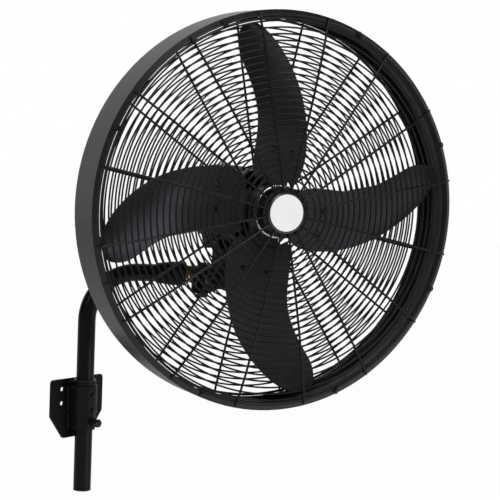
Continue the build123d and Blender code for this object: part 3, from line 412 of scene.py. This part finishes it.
def turned(outline, columns=72, flats=None, chamfers=()):
    """A turned piece about its own Z. outline lists (height, radius); with flats, the radius is also held
    inside a hexagon of that size across flats, and chamfers lists (height, sense) faces that a 30 degree cone
    starts from."""
    cone_start = 0.94
    cone_slope = 1.732
    heights, radii = np.array(outline, float).T
    angles = np.linspace(0, 2 * pi, columns, endpoint=False)
    reach = np.broadcast_to(radii[:, None], (len(heights), columns)).copy()
    if flats:
        sector = (angles + pi / 6) % (pi / 3) - pi / 6
        reach = np.minimum(reach, flats / 2 / np.cos(sector))
        for height, sense in chamfers:
            cone = flats / 2 * cone_start + (heights - height) * sense * cone_slope
            reach = np.minimum(reach, np.where(cone > 0, cone, reach.max())[:, None])
    return round_axis(reach, angles, heights[:, None])


def hexagon(flats, low, high, chamfer_low=True, chamfer_high=True):
    """A hexagon head or nut from one height to another, with 30 degree chamfers on the ends that are asked
    for. Its rows crowd at both ends, by shares of the size across flats, to follow the chamfers."""
    crowd = np.array([0, 0.01, 0.02, 0.035, 0.05, 0.065, 0.08, 0.1]) * flats
    heights = np.concatenate([low + crowd, high - crowd[::-1]])
    chamfers = [(low, 1)] * chamfer_low + [(high, -1)] * chamfer_high
    return turned([(height, flats) for height in heights], flats=flats, chamfers=chamfers)


def facing_front(grid, place=(0, 0, 0)):
    """The grid with its own Z towards the front, along -Y, and its own X upwards, moved to a place."""
    return np.roll(grid, 2, axis=-1) * (-1, -1, 1) + np.asarray(place, float)


def blackened(name, colour=(0.008, 0.008, 0.008), roughness=0.38):
    """Oiled black oxide: dark metal with brown blooms and bright rubbed corners."""
    rub_width = 0.0005
    rub_colour = (0.16, 0.16, 0.16)
    brown = (1.8, 1.3, 1.0)
    steel = Finish(name, colour, roughness=roughness, Specular_IOR_Level=0.35)
    bloom = steel.noise(160.0, detail=4.0, rough=0.6)
    rounded, rim = steel.edges(width=rub_width)
    tone = steel.mix(bloom.above(0.5, 0.75), colour, scaled(colour, brown))
    tone = steel.mix(rim * 0.4, tone, rub_colour)
    grain = steel.noise(900.0, detail=2.0, rough=0.5)
    grained = steel.bump(grain, distance=0.00003, strength=0.6, normal=rounded)
    gloss = bloom * 0.2 + (roughness - 0.1)
    return steel.feed(Base_Color=tone, Roughness=gloss, Metallic=rim * 0.5 + 0.1, Normal=grained).material


strap_bolt_rows = (-29.5, 4.5)
strap_front = -strap_side - 0.1
strap_bolt_flats = 10.0
strap_bolt_head = 4.0
washer_face_high = 0.5
shank_and_face = [(-1.5, 3.0), (-0.05, 3.05), (0.0, 4.7), (0.45, 4.7), (0.55, 4.5)]
black_steel = blackened("black_steel")
strap_head = hexagon(strap_bolt_flats, washer_face_high, strap_bolt_head, chamfer_low=False)
strap_bolts = []
for row in strap_bolt_rows:
    seat = (0, strap_front, row)
    strap_bolts.append(facing_front(strap_head, seat))
    strap_bolts.append(facing_front(turned(shank_and_face, columns=48), seat))
skin("strap_bolt_heads", strap_bolts, black_steel, "bracket",
     replaces=["strap_bolts"], origin=pipe_centre)


# ---------------------------------------------------------------- Lock bolt
# A hexagon bolt screwed into the boss on the sleeve pinches the bush on the pipe. It is blackened steel,
# and its thread shows between the boss and the head.
def thread(radius, low, high, pitch):
    """A screw thread: the radius dips by 0.6 of the pitch once in each turn and pitch, as a raised cosine,
    and falls by 0.4 of the pitch at both ends."""
    dip_depth = 0.6
    end_fall = 0.4
    rows = max(int((high - low) / pitch * 8), 4)
    heights = np.linspace(low, high, rows)
    angles = np.linspace(0, 2 * pi, 36, endpoint=False)
    phase = heights[:, None] / pitch - angles[None] / (2 * pi)
    dip = dip_depth * pitch * (0.5 - 0.5 * np.cos(2 * pi * phase))
    end = np.clip(np.minimum(heights - low, high - heights) / pitch, 0, 1)[:, None]
    return round_axis(radius - dip - (1 - end) * end_fall * pitch, angles, heights[:, None])


lock_r = 5.0
lock_pitch = 1.5
lock_tip = 20.8
lock_seat = 37.27
lock_head = 10.0
lock_flats = 16.0
lock_place = (0, 0, -54.0)
lock_parts = [facing_front(thread(lock_r, lock_tip, lock_seat + 0.5, lock_pitch), lock_place),
              facing_front(hexagon(lock_flats, lock_seat, lock_seat + lock_head), lock_place)]
lock_steel = blackened("lock_steel", (0.01, 0.01, 0.01), roughness=0.34)
skin("lock_bolt_turned", lock_parts, lock_steel, "lock",
     replaces=["lock_bolt"], origin=pipe_centre)


# ---------------------------------------------------------------- Bush and pipe
# The bush is moulded nylon. The pipe is drawn steel tube, bent cold and sprayed a glossier black than the
# bracket, with faint rub marks round it where it slides in the sleeve. A soft cap closes its lower end.
def moulded(name, colour, roughness, grain=700.0, depth=0.00004, coat=0.0):
    """Moulded plastic: an even colour with flow clouds, slightly paler edges and a fine spark grain."""
    plastic = Finish(name, colour, roughness=roughness, Specular_IOR_Level=0.45, Coat_Weight=coat)
    clouds = plastic.noise(22.0, detail=3.0, rough=0.6)
    rounded, rim = plastic.edges(width=0.0008)
    tone = plastic.mix(clouds.above(0.35, 0.75), colour, [value * 1.35 + 0.004 for value in colour])
    tone = plastic.mix(rim * 0.3, tone, [value * 2 + 0.03 for value in colour])
    sparks = plastic.noise(grain, detail=2.0, rough=0.5)
    grained = plastic.bump(sparks, distance=depth, strength=0.7, normal=rounded)
    gloss = clouds * 0.14 + (roughness - 0.07)
    return plastic.feed(Base_Color=tone, Roughness=gloss, Normal=grained).material


dress(moulded("bush_nylon", (0.014, 0.014, 0.014), roughness=0.45), "sleeve_bush")
dress(moulded("soft_cap", (0.012, 0.012, 0.012), roughness=0.7), "pipe_end_plug")
pipe_paint = Finish("pipe_paint", (0.003, 0.003, 0.003), roughness=0.3, Specular_IOR_Level=0.2)
pipe_height = pipe_paint.node("ShaderNodeSeparateXYZ", None, {0: pipe_paint.point})["Z"]
rub_rings = pipe_paint.noise((6.0, 6.0, 620.0), detail=3.0, rough=0.6).above(0.5, 0.7)
in_sleeve = (1 - pipe_height.above(-0.06, 0.06)) * pipe_height.above(-0.21, -0.18)
slid = in_sleeve * rub_rings
pipe_clouds = pipe_paint.noise(14.0, detail=4.0, rough=0.6)
pipe_tone = pipe_paint.mix(pipe_clouds.above(0.35, 0.75), (0.0012, 0.0012, 0.0012), (0.0026, 0.0026, 0.0025))
pipe_tone = pipe_paint.mix(slid * 0.25, pipe_tone, (0.04, 0.04, 0.04))
pipe_peel = pipe_paint.bump(pipe_paint.noise(260.0, detail=2.0, rough=0.5), distance=0.00005, strength=0.6)
pipe_gloss = pipe_clouds * 0.14 + slid * 0.15 + 0.22
pipe_paint.feed(Base_Color=pipe_tone, Roughness=pipe_gloss, Normal=pipe_peel)
dress(pipe_paint.material, "arm_pipe")


# ---------------------------------------------------------------- Socket, yoke, link and hanger
# Sand cast iron, fettled and sprayed black: the flared socket on the arm, the yoke and link of the knuckle,
# and the hanger under the motor. The casting skin shows through the thin paint, with a faint brown bloom.
def cast(name, colour, roughness):
    """Painted sand casting: a fine and a coarse grain in the bump, patches of brown bloom, and worn edges."""
    bloom_colour = (0.007, 0.006, 0.005)
    rub_colour = (0.06, 0.057, 0.052)
    iron = Finish(name, colour, roughness=roughness, Specular_IOR_Level=0.09)
    sand = iron.noise(520.0, detail=4.0, rough=0.65)
    patch = iron.noise(26.0, detail=4.0, rough=0.6)
    rounded, rim = iron.edges(width=0.002)
    tone = iron.mix(patch.above(0.4, 0.75), colour, bloom_colour)
    tone = iron.mix(rim * patch.above(0.45, 0.65) * 0.35, tone, rub_colour)
    lumps = iron.noise(90.0, detail=3.0, rough=0.6)
    grained = iron.bump(sand * 0.5 + lumps, distance=0.00028, strength=0.8, normal=rounded)
    gloss = sand * 0.25 + (roughness - 0.12)
    return iron.feed(Base_Color=tone, Roughness=gloss, Normal=grained).material


cast_paint = cast("cast_paint", (0.0025, 0.0025, 0.0025), roughness=0.5)
dress(cast_paint, "arm_socket", "knuckle_yoke", "swivel_link", "motor_hanger")
dress(black_steel, "socket_screws")


# ---------------------------------------------------------------- Knuckle stud, washer and nut
# Zinc plated and passivated yellow: a stud from the socket into the yoke, a plain washer and a lock nut.
# The plating shifts between straw, rose and olive, and it is rubbed to bare zinc on the nut's corners.
def passivated(name, roughness, level):
    """Yellow passivated zinc: metal as bright as the level, whose colour drifts along straw, rose and olive
    with a slow noise."""
    zinc = Finish(name, (level, level * 0.8, level * 0.4), roughness=roughness, Metallic=1.0)
    straw = (1.0, 0.8, 0.32)
    rose = (0.92, 0.66, 0.42)
    olive = (0.6, 0.62, 0.26)
    bare = (1.0, 1.0, 0.85)
    drift = zinc.noise(75.0, detail=3.0, rough=0.6)
    rounded, rim = zinc.edges(width=0.0006)
    tone = zinc.mix(drift.above(0.3, 0.55), scaled(straw, level), scaled(rose, level))
    tone = zinc.mix(drift.above(0.5, 0.7), tone, scaled(olive, level))
    tone = zinc.mix(rim * 0.5, tone, scaled(bare, level))
    tool_marks = zinc.noise(1100.0, detail=2.0, rough=0.6)
    machined = zinc.bump(tool_marks, distance=0.00002, strength=0.6, normal=rounded)
    gloss = drift * 0.2 + (roughness - 0.1)
    return zinc.feed(Base_Color=tone, Roughness=gloss, Normal=machined).material


yellow_zinc = passivated("yellow_zinc", roughness=0.3, level=0.58)
pan_pin = Vector(joints["head_pan"]["pos_m"])
arm_along = Vector((pan_pin.x - pipe_centre.x, pan_pin.y - pipe_centre.y, 0)).normalized()
arm_axes = [list(arm_along.cross(upwards)), list(-arm_along), (0, 0, 1)]
arm_origin = Vector((pipe_centre.x, pipe_centre.y, 0))
arm_z = 273.0
socket_end = 210.0
washer_r = 20.5
washer_thick = 3.0
washer_break = 0.25
knuckle_flats = 36.0
knuckle_nut_thick = 10.5
knuckle_gap = 0.05
washer_at = -(socket_end + knuckle_gap)
knuckle_nut_at = washer_at - washer_thick - knuckle_gap
washer = turned([(0, washer_r - 0.5), (washer_break, washer_r), (washer_thick - washer_break, washer_r),
                 (washer_thick, washer_r - 0.5)])
knuckle_nut = hexagon(knuckle_flats, 0, knuckle_nut_thick)
washer_parts = [facing_front(washer, (0, washer_at, arm_z))]
knuckle_nut_parts = [facing_front(knuckle_nut, (0, knuckle_nut_at, arm_z))]
skin("knuckle_washer_turned", washer_parts, yellow_zinc, "arm",
     replaces=["knuckle_washer"], origin=arm_origin, axes=arm_axes)
skin("knuckle_nut_turned", knuckle_nut_parts, yellow_zinc, "arm",
     replaces=["knuckle_nut"], origin=arm_origin, axes=arm_axes)
dress(yellow_zinc, "knuckle_stud")

# ---------------------------------------------------------------- Swivel pin and nut
# The bolt that the head pans on stands upright through the yoke. It is zinc plated steel that has gone dull,
# with its head above and its nut below, and a turn of thread stands out under the nut.
tongue_z = 261.5
tongue_half = 13.5
yoke_gap = 0.5
yoke_ear = 14.0
seat_gap = 0.1
pin_shank_r = 6.9
pin_r = 7.0
pin_pitch = 1.6
pin_flats = 22.0
pin_head = 9.0
pin_end = 10.5
pin_out = 0.6
pin_in_nut = 2
pin_in_head = 1
yoke_half = tongue_half + yoke_gap + yoke_ear
pin_top = tongue_z + yoke_half + seat_gap
pin_bottom = tongue_z - yoke_half - seat_gap
pin_origin = Vector((pan_pin.x, pan_pin.y, 0))
dull_zinc = passivated("dull_zinc", roughness=0.42, level=0.1)
pin_shank = turned([(pin_bottom - pin_in_nut, pin_shank_r), (pin_top + pin_in_head, pin_shank_r)], columns=48)
pin_hex = hexagon(pin_flats, pin_top, pin_top + pin_head, chamfer_low=False)
pin_nut_hex = hexagon(pin_flats, pin_bottom - pin_end + pin_out, pin_bottom)
pin_thread = thread(pin_r, pin_bottom - pin_end - seat_gap, pin_bottom - pin_end + pin_in_nut, pin_pitch)
skin("swivel_pin_turned", [pin_shank, pin_hex], dull_zinc, "arm",
     replaces=["swivel_pin"], origin=pin_origin, axes=arm_axes)
skin("swivel_nut_turned", [pin_nut_hex, pin_thread], dull_zinc, "arm",
     replaces=["swivel_nut"], origin=pin_origin, axes=arm_axes)


# ---------------------------------------------------------------- Tilt bolt and nut
# The bolt that the head tilts on lies across the link's two cheeks, with its nut on the right.
# It is plated as the swivel pin is.
def across(grid, place):
    """The grid with its own Z along X and its own X along Y, moved to a place."""
    return np.roll(grid, 1, axis=-1) + np.asarray(place, float)


head_axes = [list(fan_side), list(-fan_forward), (0, 0, 1)]
tilt_place = (0, 260.0, -165.0)
cheek_inner = 15.3
cheek_thick = 8.7
cheek_side = cheek_inner + cheek_thick + seat_gap
tilt_shank_r = 5.9
tilt_r = 6.0
tilt_pitch = 1.5
tilt_flats = 19.0
tilt_head = 7.5
tilt_end = 10.0
tilt_out = 1.5
tilt_inside = 1
tilt_thread_long = 3
tilt_reach = cheek_side + tilt_inside
tilt_shank = turned([(-tilt_reach, tilt_shank_r), (tilt_reach, tilt_shank_r)], columns=48)
tilt_hex = hexagon(tilt_flats, -cheek_side - tilt_head, -cheek_side, chamfer_high=False)
tilt_nut_hex = hexagon(tilt_flats, cheek_side, cheek_side + tilt_end - tilt_out)
tilt_thread = thread(tilt_r, cheek_side + tilt_end - tilt_thread_long, cheek_side + tilt_end, tilt_pitch)
tilt_parts = [across(grid, tilt_place) for grid in (tilt_shank, tilt_hex)]
tilt_nut_parts = [across(grid, tilt_place) for grid in (tilt_nut_hex, tilt_thread)]
skin("tilt_bolt_turned", tilt_parts, dull_zinc, "swivel",
     replaces=["tilt_bolt"], origin=drum_centre, axes=head_axes)
skin("tilt_nut_turned", tilt_nut_parts, dull_zinc, "swivel",
     replaces=["tilt_nut"], origin=drum_centre, axes=head_axes)

# ---------------------------------------------------------------- Hanger bolts
# Four hexagon bolts from below hold the hanger's pad to the motor's foot.
# They are the same blackened steel as the strap bolts.
dress(black_steel, "hanger_bolts")

# ---------------------------------------------------------------- Motor housing
# Die cast aluminium housing with cooling fins and two end covers, sprayed matt black over a light texture.
# The covers are screwed to its two ends.
motor_coat = coated("motor_coat", (0.003, 0.003, 0.003), roughness=0.5, peel=0.00015, specular=0.14)
dress(motor_coat, "motor_housing", "front_shield", "rear_shield")


# ---------------------------------------------------------------- Shaft, bearings and bright screws
# Turned and ground steel, left bright: the shaft with its nut, the bearings' rings, and the screws of the
# covers, of the rear disc and of the badge.
def bright(name, colour=(0.5, 0.5, 0.51), roughness=0.25):
    """Bright machined steel: a fine grain of tool marks, finger marks in the gloss and a little tarnish."""
    steel = Finish(name, colour, roughness=roughness, Metallic=1.0)
    marks = steel.noise(55.0, detail=4.0, rough=0.6)
    tone = steel.mix(marks.above(0.45, 0.8), colour, scaled(colour, 0.6))
    tooled = steel.bump(steel.noise(1500.0, detail=2.0, rough=0.5), distance=0.00002, strength=0.6)
    return steel.feed(Base_Color=tone, Roughness=marks * 0.25 + (roughness - 0.1), Normal=tooled).material


bright_steel = bright("bright_steel")
dress(bright_steel, "motor_shaft", "shaft_nut", "front_bearing", "rear_bearing")
dress(bright_steel, "shield_screws", "disc_screws", "badge_screw")

# ---------------------------------------------------------------- Stator, rotor core and windings
# Inside the housing: stacked laminations of electrical steel, pressed in and on the shaft,
# and copper winding heads in brown varnish.
lamination = Finish("lamination", (0.2, 0.2, 0.21), roughness=0.45, Metallic=0.9)
stack = lamination.noise(800.0, detail=1.0, rough=0.5)
sheet_tone = lamination.mix(lamination.noise(60.0), (0.16, 0.16, 0.17), (0.26, 0.25, 0.24))
stacked = lamination.bump(stack, distance=0.0001, strength=0.7)
lamination.feed(Base_Color=sheet_tone, Roughness=stack * 0.3 + 0.3, Normal=stacked)
dress(lamination.material, "stator_core", "rotor_core")
winding = Finish("winding", (0.35, 0.13, 0.05), roughness=0.35, Metallic=0.6)
strands = winding.noise((900.0, 900.0, 120.0), detail=2.0, rough=0.5)
winding_tone = winding.mix(strands, (0.22, 0.07, 0.03), (0.5, 0.2, 0.07))
wound = winding.bump(strands, distance=0.0003, strength=0.8)
winding.feed(Base_Color=winding_tone, Normal=wound)
dress(winding.material, "stator_coils")

# ---------------------------------------------------------------- Junction box
# A moulded box on the motor's side holds the run capacitor and the terminals; a gland below lets the supply
# in. Its lid is held by blackened screws.
box_plastic = moulded("box_plastic", (0.016, 0.016, 0.016), roughness=0.5)
dress(box_plastic, "junction_box", "junction_lid", "terminal_block", "cable_gland")
dress(moulded("capacitor_can", (0.03, 0.03, 0.032), roughness=0.3), "run_capacitor")
dress(black_steel, "lid_screws")

# ---------------------------------------------------------------- Drum
# Rolled sheet steel with its front edge turned in to a sloping rim and hemmed, and a flat flange behind. The
# coat is a glossier black than the rest and reads dark grey in the light; rolling leaves slow waves round it.
drum_coat = Finish("drum_coat", (0.008, 0.0083, 0.0082), roughness=0.34, Specular_IOR_Level=0.42,
                   Specular_Tint=(0.88, 0.96, 1.0, 1.0))
drum_rounded, drum_rim = drum_coat.edges(width=0.0015)
drum_specks = drum_coat.noise(55.0, detail=5.0, rough=0.7)
drum_tone = drum_coat.mix(drum_specks.above(0.3, 0.8), (0.006, 0.0064, 0.0062), (0.0095, 0.0099, 0.0097))
drum_tone = drum_coat.mix(drum_rim * drum_specks.above(0.5, 0.7) * 0.3, drum_tone, (0.16, 0.16, 0.16))
drum_waves = drum_coat.noise(5.0, detail=2.0, rough=0.5)
drum_peel = drum_coat.noise(330.0, detail=2.0, rough=0.5)
drum_waved = drum_coat.bump(drum_waves, distance=0.0025, strength=0.5, normal=drum_rounded)
drum_peeled = drum_coat.bump(drum_peel, distance=0.00006, strength=0.7, normal=drum_waved)
drum_coat.feed(Base_Color=drum_tone, Roughness=drum_specks * 0.14 + 0.3, Normal=drum_peeled)
dress(drum_coat.material, "drum_shell")

# ---------------------------------------------------------------- Guards
# Rings of steel wire on radial spokes, dip coated a glossy black together with the plates in their middle.
# Bent clips hold the front guard on the drum's rim, and blackened screws hold the clips and the rear guard.
wire_coat = Finish("wire_coat", (0.006, 0.006, 0.0062), roughness=0.28, Specular_IOR_Level=0.28)
wire_runs = wire_coat.noise(40.0, detail=4.0, rough=0.6)
wire_tone = wire_coat.mix(wire_runs.above(0.35, 0.75), (0.004, 0.004, 0.0042), (0.008, 0.008, 0.0082))
wire_peel = wire_coat.bump(wire_coat.noise(500.0, detail=2.0, rough=0.5), distance=0.00005, strength=0.7)
wire_coat.feed(Base_Color=wire_tone, Roughness=wire_runs * 0.2 + 0.24, Normal=wire_peel)
dress(wire_coat.material, "front_grille", "rear_grille", "front_grille_clips", "front_centre_plate",
      "rear_centre_disc")
screw_black = blackened("screw_black", (0.012, 0.012, 0.012), roughness=0.3)
dress(screw_black, "front_grille_screws", "rear_grille_screws")

# ---------------------------------------------------------------- Welds of the guards
# Each ring is spot welded to each spoke that it crosses, and the metal squeezed out between the two wires
# sets as a small flattened lump under the dip coat. There are hundreds, so each has only a few facets.
spoke_count = 16
spoke_phase = 9.8
front_ring_first = 66.4
front_ring_pitch = 12.78
front_ring_count = 25
rear_ring_first = 86.8
rear_ring_pitch = 13.1
rear_ring_count = 22
front_edge_r = 378.9
front_spoke_start = 43.6
front_bend_shares = (0.33, 0.62, 0.86)
front_rise = 25.5
front_fall = 14.0
rim_foot_r = 384.8
rim_foot_depth = -10.05
rear_spoke_depth = 94.65
weld_behind_spoke = 2.2
lump_size = (2.9, 3.3, 1.5)
smooth_all = 180.0
spoke_turns = np.radians(spoke_phase + 360 / spoke_count * np.arange(spoke_count))
front_radii = front_ring_first + front_ring_pitch * np.arange(front_ring_count)
rear_radii = rear_ring_first + rear_ring_pitch * np.arange(rear_ring_count)


def dome_depth(radius):
    """Depth of a front spoke's middle: it falls back from the rise with the fourth power of the radius."""
    return -front_rise + front_fall * (radius / front_edge_r) ** 4


def weld_lumps(radii, depths):
    """Flattened balls on every crossing of rings and spokes. A ball's rows run along the spoke and its
    columns round it: a point is the half sizes times (cos row, sin row cos column, sin row sin column)."""
    first_row = 0.3
    rows = np.linspace(first_row, pi - first_row, 4)[:, None]
    turns = np.linspace(0, 2 * pi, 6, endpoint=False)[None]
    ball = [np.cos(rows) + 0 * turns, np.sin(rows) * np.cos(turns), np.sin(rows) * np.sin(turns)]
    ball = np.stack(ball, -1) * lump_size
    lumps = []
    for turn in spoke_turns:
        outward = np.array([cos(turn), 0, sin(turn)])
        sideways = np.array([-sin(turn), 0, cos(turn)])
        turned_ball = ball @ np.array([outward, sideways, (0, 1, 0)])
        for radius, depth in zip(radii, depths):
            lumps.append(turned_ball + outward * radius + [0, depth + weld_behind_spoke, 0])
    return lumps


bends = np.array([front_spoke_start, *(share * front_edge_r for share in front_bend_shares), rim_foot_r])
front_depths = np.interp(front_radii, bends, [*dome_depth(bends[:-1]), rim_foot_depth])
rear_depths = np.full(rear_ring_count, rear_spoke_depth)
skin("front_guard_welds", weld_lumps(front_radii, front_depths), wire_coat.material, "head",
     origin=drum_centre, axes=head_axes, sharp=smooth_all)
skin("rear_guard_welds", weld_lumps(rear_radii, rear_depths), wire_coat.material, "head",
     origin=drum_centre, axes=head_axes, sharp=smooth_all)

# ---------------------------------------------------------------- Badge
# A black moulded rim holds a plain white disc in the middle of the front guard; both are gloss plastic.
# The rim is rounded over in front, and the disc is slightly domed with a rounded edge.
badge_seat = 2.55
badge_back = dome_depth(front_spoke_start) + badge_seat
badge_r = 36.4
rim_r = 42.0
rim_high = 4.8
rim_round = 4.2
rim_hole_r = 20.0
recess = 1.9
recess_floor = rim_high - recess
arc = np.linspace(0, pi / 2, 9)
rim_edge = rim_high - rim_round
rim_outline = [(0.0, rim_r - 0.4), (0.4, rim_r), (rim_edge, rim_r)]
rim_outline += [(rim_edge + rim_round * sin(a), rim_r - rim_round * (1 - cos(a))) for a in arc[1:]]
rim_outline += [(rim_high, badge_r + 0.9), (rim_high - 0.3, badge_r + 0.25), (recess_floor, badge_r + 0.05)]
rim_outline += [(recess_floor, rim_hole_r)]
rim_black = moulded("badge_rim_black", (0.006, 0.0075, 0.008), roughness=0.3,
                    grain=300.0, depth=0.00001, coat=0.8)
rim_parts = [facing_front(turned(rim_outline, columns=96), (0, badge_back, 0))]
skin("badge_rim_moulded", rim_parts, rim_black, "head",
     replaces=["badge_rim"], origin=drum_centre, axes=head_axes)
disc_edge = 1.4
disc_round = 0.6
disc_crown = 0.5
disc_outline = [(0.0, badge_r - 0.2), (0.2, badge_r), (disc_edge, badge_r)]
disc_outline += [(disc_edge + disc_round * sin(a), badge_r - disc_round * (1 - cos(a))) for a in arc[1:]]
disc_outline += [(disc_edge + disc_round + disc_crown * (1 - (r / badge_r) ** 2), r)
                 for r in (34.0, 28.0, 21.0, 14.0, 7.0, 2.0)]
badge_white = Finish("badge_white", (0.8, 0.8, 0.79), roughness=0.22, Specular_IOR_Level=0.5, Coat_Weight=0.3)
badge_clouds = badge_white.noise(60.0)
badge_tone = badge_white.mix(badge_clouds.above(0.3, 0.8), (0.87, 0.87, 0.86), (0.91, 0.91, 0.9))
badge_grain = badge_white.bump(badge_white.noise(300.0), distance=0.00001, strength=0.5)
badge_white.feed(Base_Color=badge_tone, Roughness=badge_clouds * 0.12 + 0.16, Normal=badge_grain)
disc_gap = 0.05
disc_back = badge_back - rim_high + recess + disc_gap
disc_parts = [facing_front(turned(disc_outline, columns=96), (0, disc_back, 0))]
skin("badge_disc_moulded", disc_parts, badge_white.material, "head",
     replaces=["badge_disc"], origin=drum_centre, axes=head_axes)

# ---------------------------------------------------------------- Hub
# Cast aluminium hub with four flat arms, sprayed black. Its raised front rim is machined bright, and ends in
# a rolled bead that was polished by the tool that turned it.
hub_finish = Finish("hub_finish", (0.012, 0.012, 0.012), roughness=0.4, Specular_IOR_Level=0.5)
spin_axis = tuple(fan_forward)
from_axis = hub_finish.node("ShaderNodeVectorMath", {"operation": "SUBTRACT"},
                            {0: hub_finish.point, 1: tuple(drum_centre)})
forwards = hub_finish.dot(from_axis, spin_axis)
crossed = hub_finish.node("ShaderNodeVectorMath", {"operation": "CROSS_PRODUCT"},
                          {0: from_axis, 1: spin_axis})
outwards = hub_finish.node("ShaderNodeVectorMath", {"operation": "LENGTH"}, {0: crossed})["Value"]
on_rim = outwards.above(0.046, 0.047) * (1 - outwards.above(0.0555, 0.056))
machined = forwards.above(-0.012, -0.0115) * on_rim
hub_clouds = hub_finish.noise(90.0, detail=4.0, rough=0.6)
hub_tone = hub_finish.mix(hub_clouds.above(0.4, 0.7), (0.01, 0.01, 0.01), (0.02, 0.02, 0.02))
hub_tone = hub_finish.mix(machined, hub_tone, (0.6, 0.58, 0.54))
hub_rounded = hub_finish.edges(width=0.0015)[0]
hub_grain = hub_finish.noise(500.0, detail=3.0, rough=0.6)
hub_grained = hub_finish.bump(hub_grain, distance=0.0001, strength=0.7, normal=hub_rounded)
hub_finish.feed(Base_Color=hub_tone, Metallic=machined, Roughness=hub_clouds * 0.2 + 0.26, Normal=hub_grained)
dress(hub_finish.material, "hub")
hub_bead_r = 50.4
hub_bead_tube = 4.0
hub_bead_depth = 9.4


def half_hoop(radius, tube, depth, start):
    """Half of a ring of round bar about the fan's axis. Its rows turn through 180 degrees, and its columns go
    round the bar."""
    turns = (start + np.linspace(0, pi, 61))[:, None]
    section = np.linspace(0, 2 * pi, 16, endpoint=False)[None]
    reach = radius + tube * np.cos(section)
    back = depth + tube * np.sin(section) + 0 * turns
    return np.stack([reach * np.cos(turns), back, reach * np.sin(turns)], -1)


hub_hoops = [half_hoop(hub_bead_r, hub_bead_tube, hub_bead_depth, start) for start in (0.0, pi)]
hub_bright = Finish("hub_bright", (0.7, 0.68, 0.64), roughness=0.3, Metallic=1.0)
hub_stain = hub_bright.noise(70.0, detail=4.0, rough=0.7)
hub_bright_tone = hub_bright.mix(hub_stain.above(0.45, 0.7), (0.93, 0.92, 0.91), (0.6, 0.54, 0.45))
hub_chatter = hub_bright.bump(hub_bright.noise(260.0, detail=3.0, rough=0.7), distance=0.001, strength=0.8)
hub_bright.feed(Base_Color=hub_bright_tone, Roughness=hub_stain * 0.2 + 0.14, Normal=hub_chatter)
skin("hub_bead", hub_hoops, hub_bright.material, "rotor",
     origin=drum_centre, axes=head_axes)

# ---------------------------------------------------------------- Blades and rivets
# Four blades pressed from steel sheet, sprayed satin black, each riveted to its arm by two domed rivets.
# The spray clouds a little over a blade, and the air has left faint patches of dust.
blade_coat = Finish("blade_coat", (0.01, 0.01, 0.0105), roughness=0.42, Specular_IOR_Level=0.56,
                    Specular_Tint=(0.86, 0.9, 1.0, 1.0))
blade_clouds = blade_coat.noise(12.0, detail=4.0, rough=0.6)
blade_dust = blade_coat.noise(60.0, detail=5.0, rough=0.7).above(0.5, 0.8) * 0.06
blade_tone = blade_coat.mix(blade_clouds.above(0.3, 0.75), (0.0074, 0.0077, 0.0085), (0.0112, 0.0115, 0.0124))
blade_tone = blade_coat.mix(blade_dust, blade_tone, (0.3, 0.29, 0.27))
blade_rounded = blade_coat.edges(width=0.0012)[0]
blade_peel = blade_coat.noise(300.0, detail=2.0, rough=0.5)
blade_peeled = blade_coat.bump(blade_peel, distance=0.00006, strength=0.7, normal=blade_rounded)
blade_coat.feed(Base_Color=blade_tone, Roughness=blade_clouds * 0.16 + 0.34, Normal=blade_peeled)
dress(blade_coat.material, "blade_1", "blade_2", "blade_3", "blade_4")
rivet_r = 6.5
rivet_foot = 0.8
rivet_dome = 1.6
rivet_radius = 121.0
rivet_offset = 24.6
blade_first = 78.0
blade_depth = 48.0
blade_slope = 0.22
rivet_outline = [(-8.9, 3.4), (-8.6, 4.7), (-7.8, 5.4), (-6.6, 5.5), (-6.5, 3.0), (0.55, 3.0)]
rivet_outline += [(0.6, rivet_r - 0.3), (rivet_foot, rivet_r)]
rivet_outline += [(rivet_foot + rivet_dome * sin(a), rivet_r * cos(a) + 0.01) for a in arc[1:]]
rivet_shape = facing_front(turned(rivet_outline, columns=32))
blade_tilt = atan(blade_slope)
lean_cos = cos(blade_tilt)
lean_sin = sin(blade_tilt)
blade_lean = np.array([(1, 0, 0), (0, lean_cos, lean_sin), (0, -lean_sin, lean_cos)])
rivets = []
for turn in np.radians(blade_first + 90.0 * np.arange(4)):
    around = np.array([(cos(turn), 0, sin(turn)), (0, 1, 0), (-sin(turn), 0, cos(turn))])
    for offset in (-rivet_offset, rivet_offset):
        standing = (rivet_shape + [rivet_radius, 0, offset]) @ blade_lean + [0, blade_depth, 0]
        rivets.append(standing @ around)
rivet_finish = blackened("rivet_finish", (0.003, 0.003, 0.003), roughness=0.26)
skin("blade_rivets_domed", rivets, rivet_finish, "rotor",
     replaces=["blade_rivets"], origin=drum_centre, axes=head_axes)
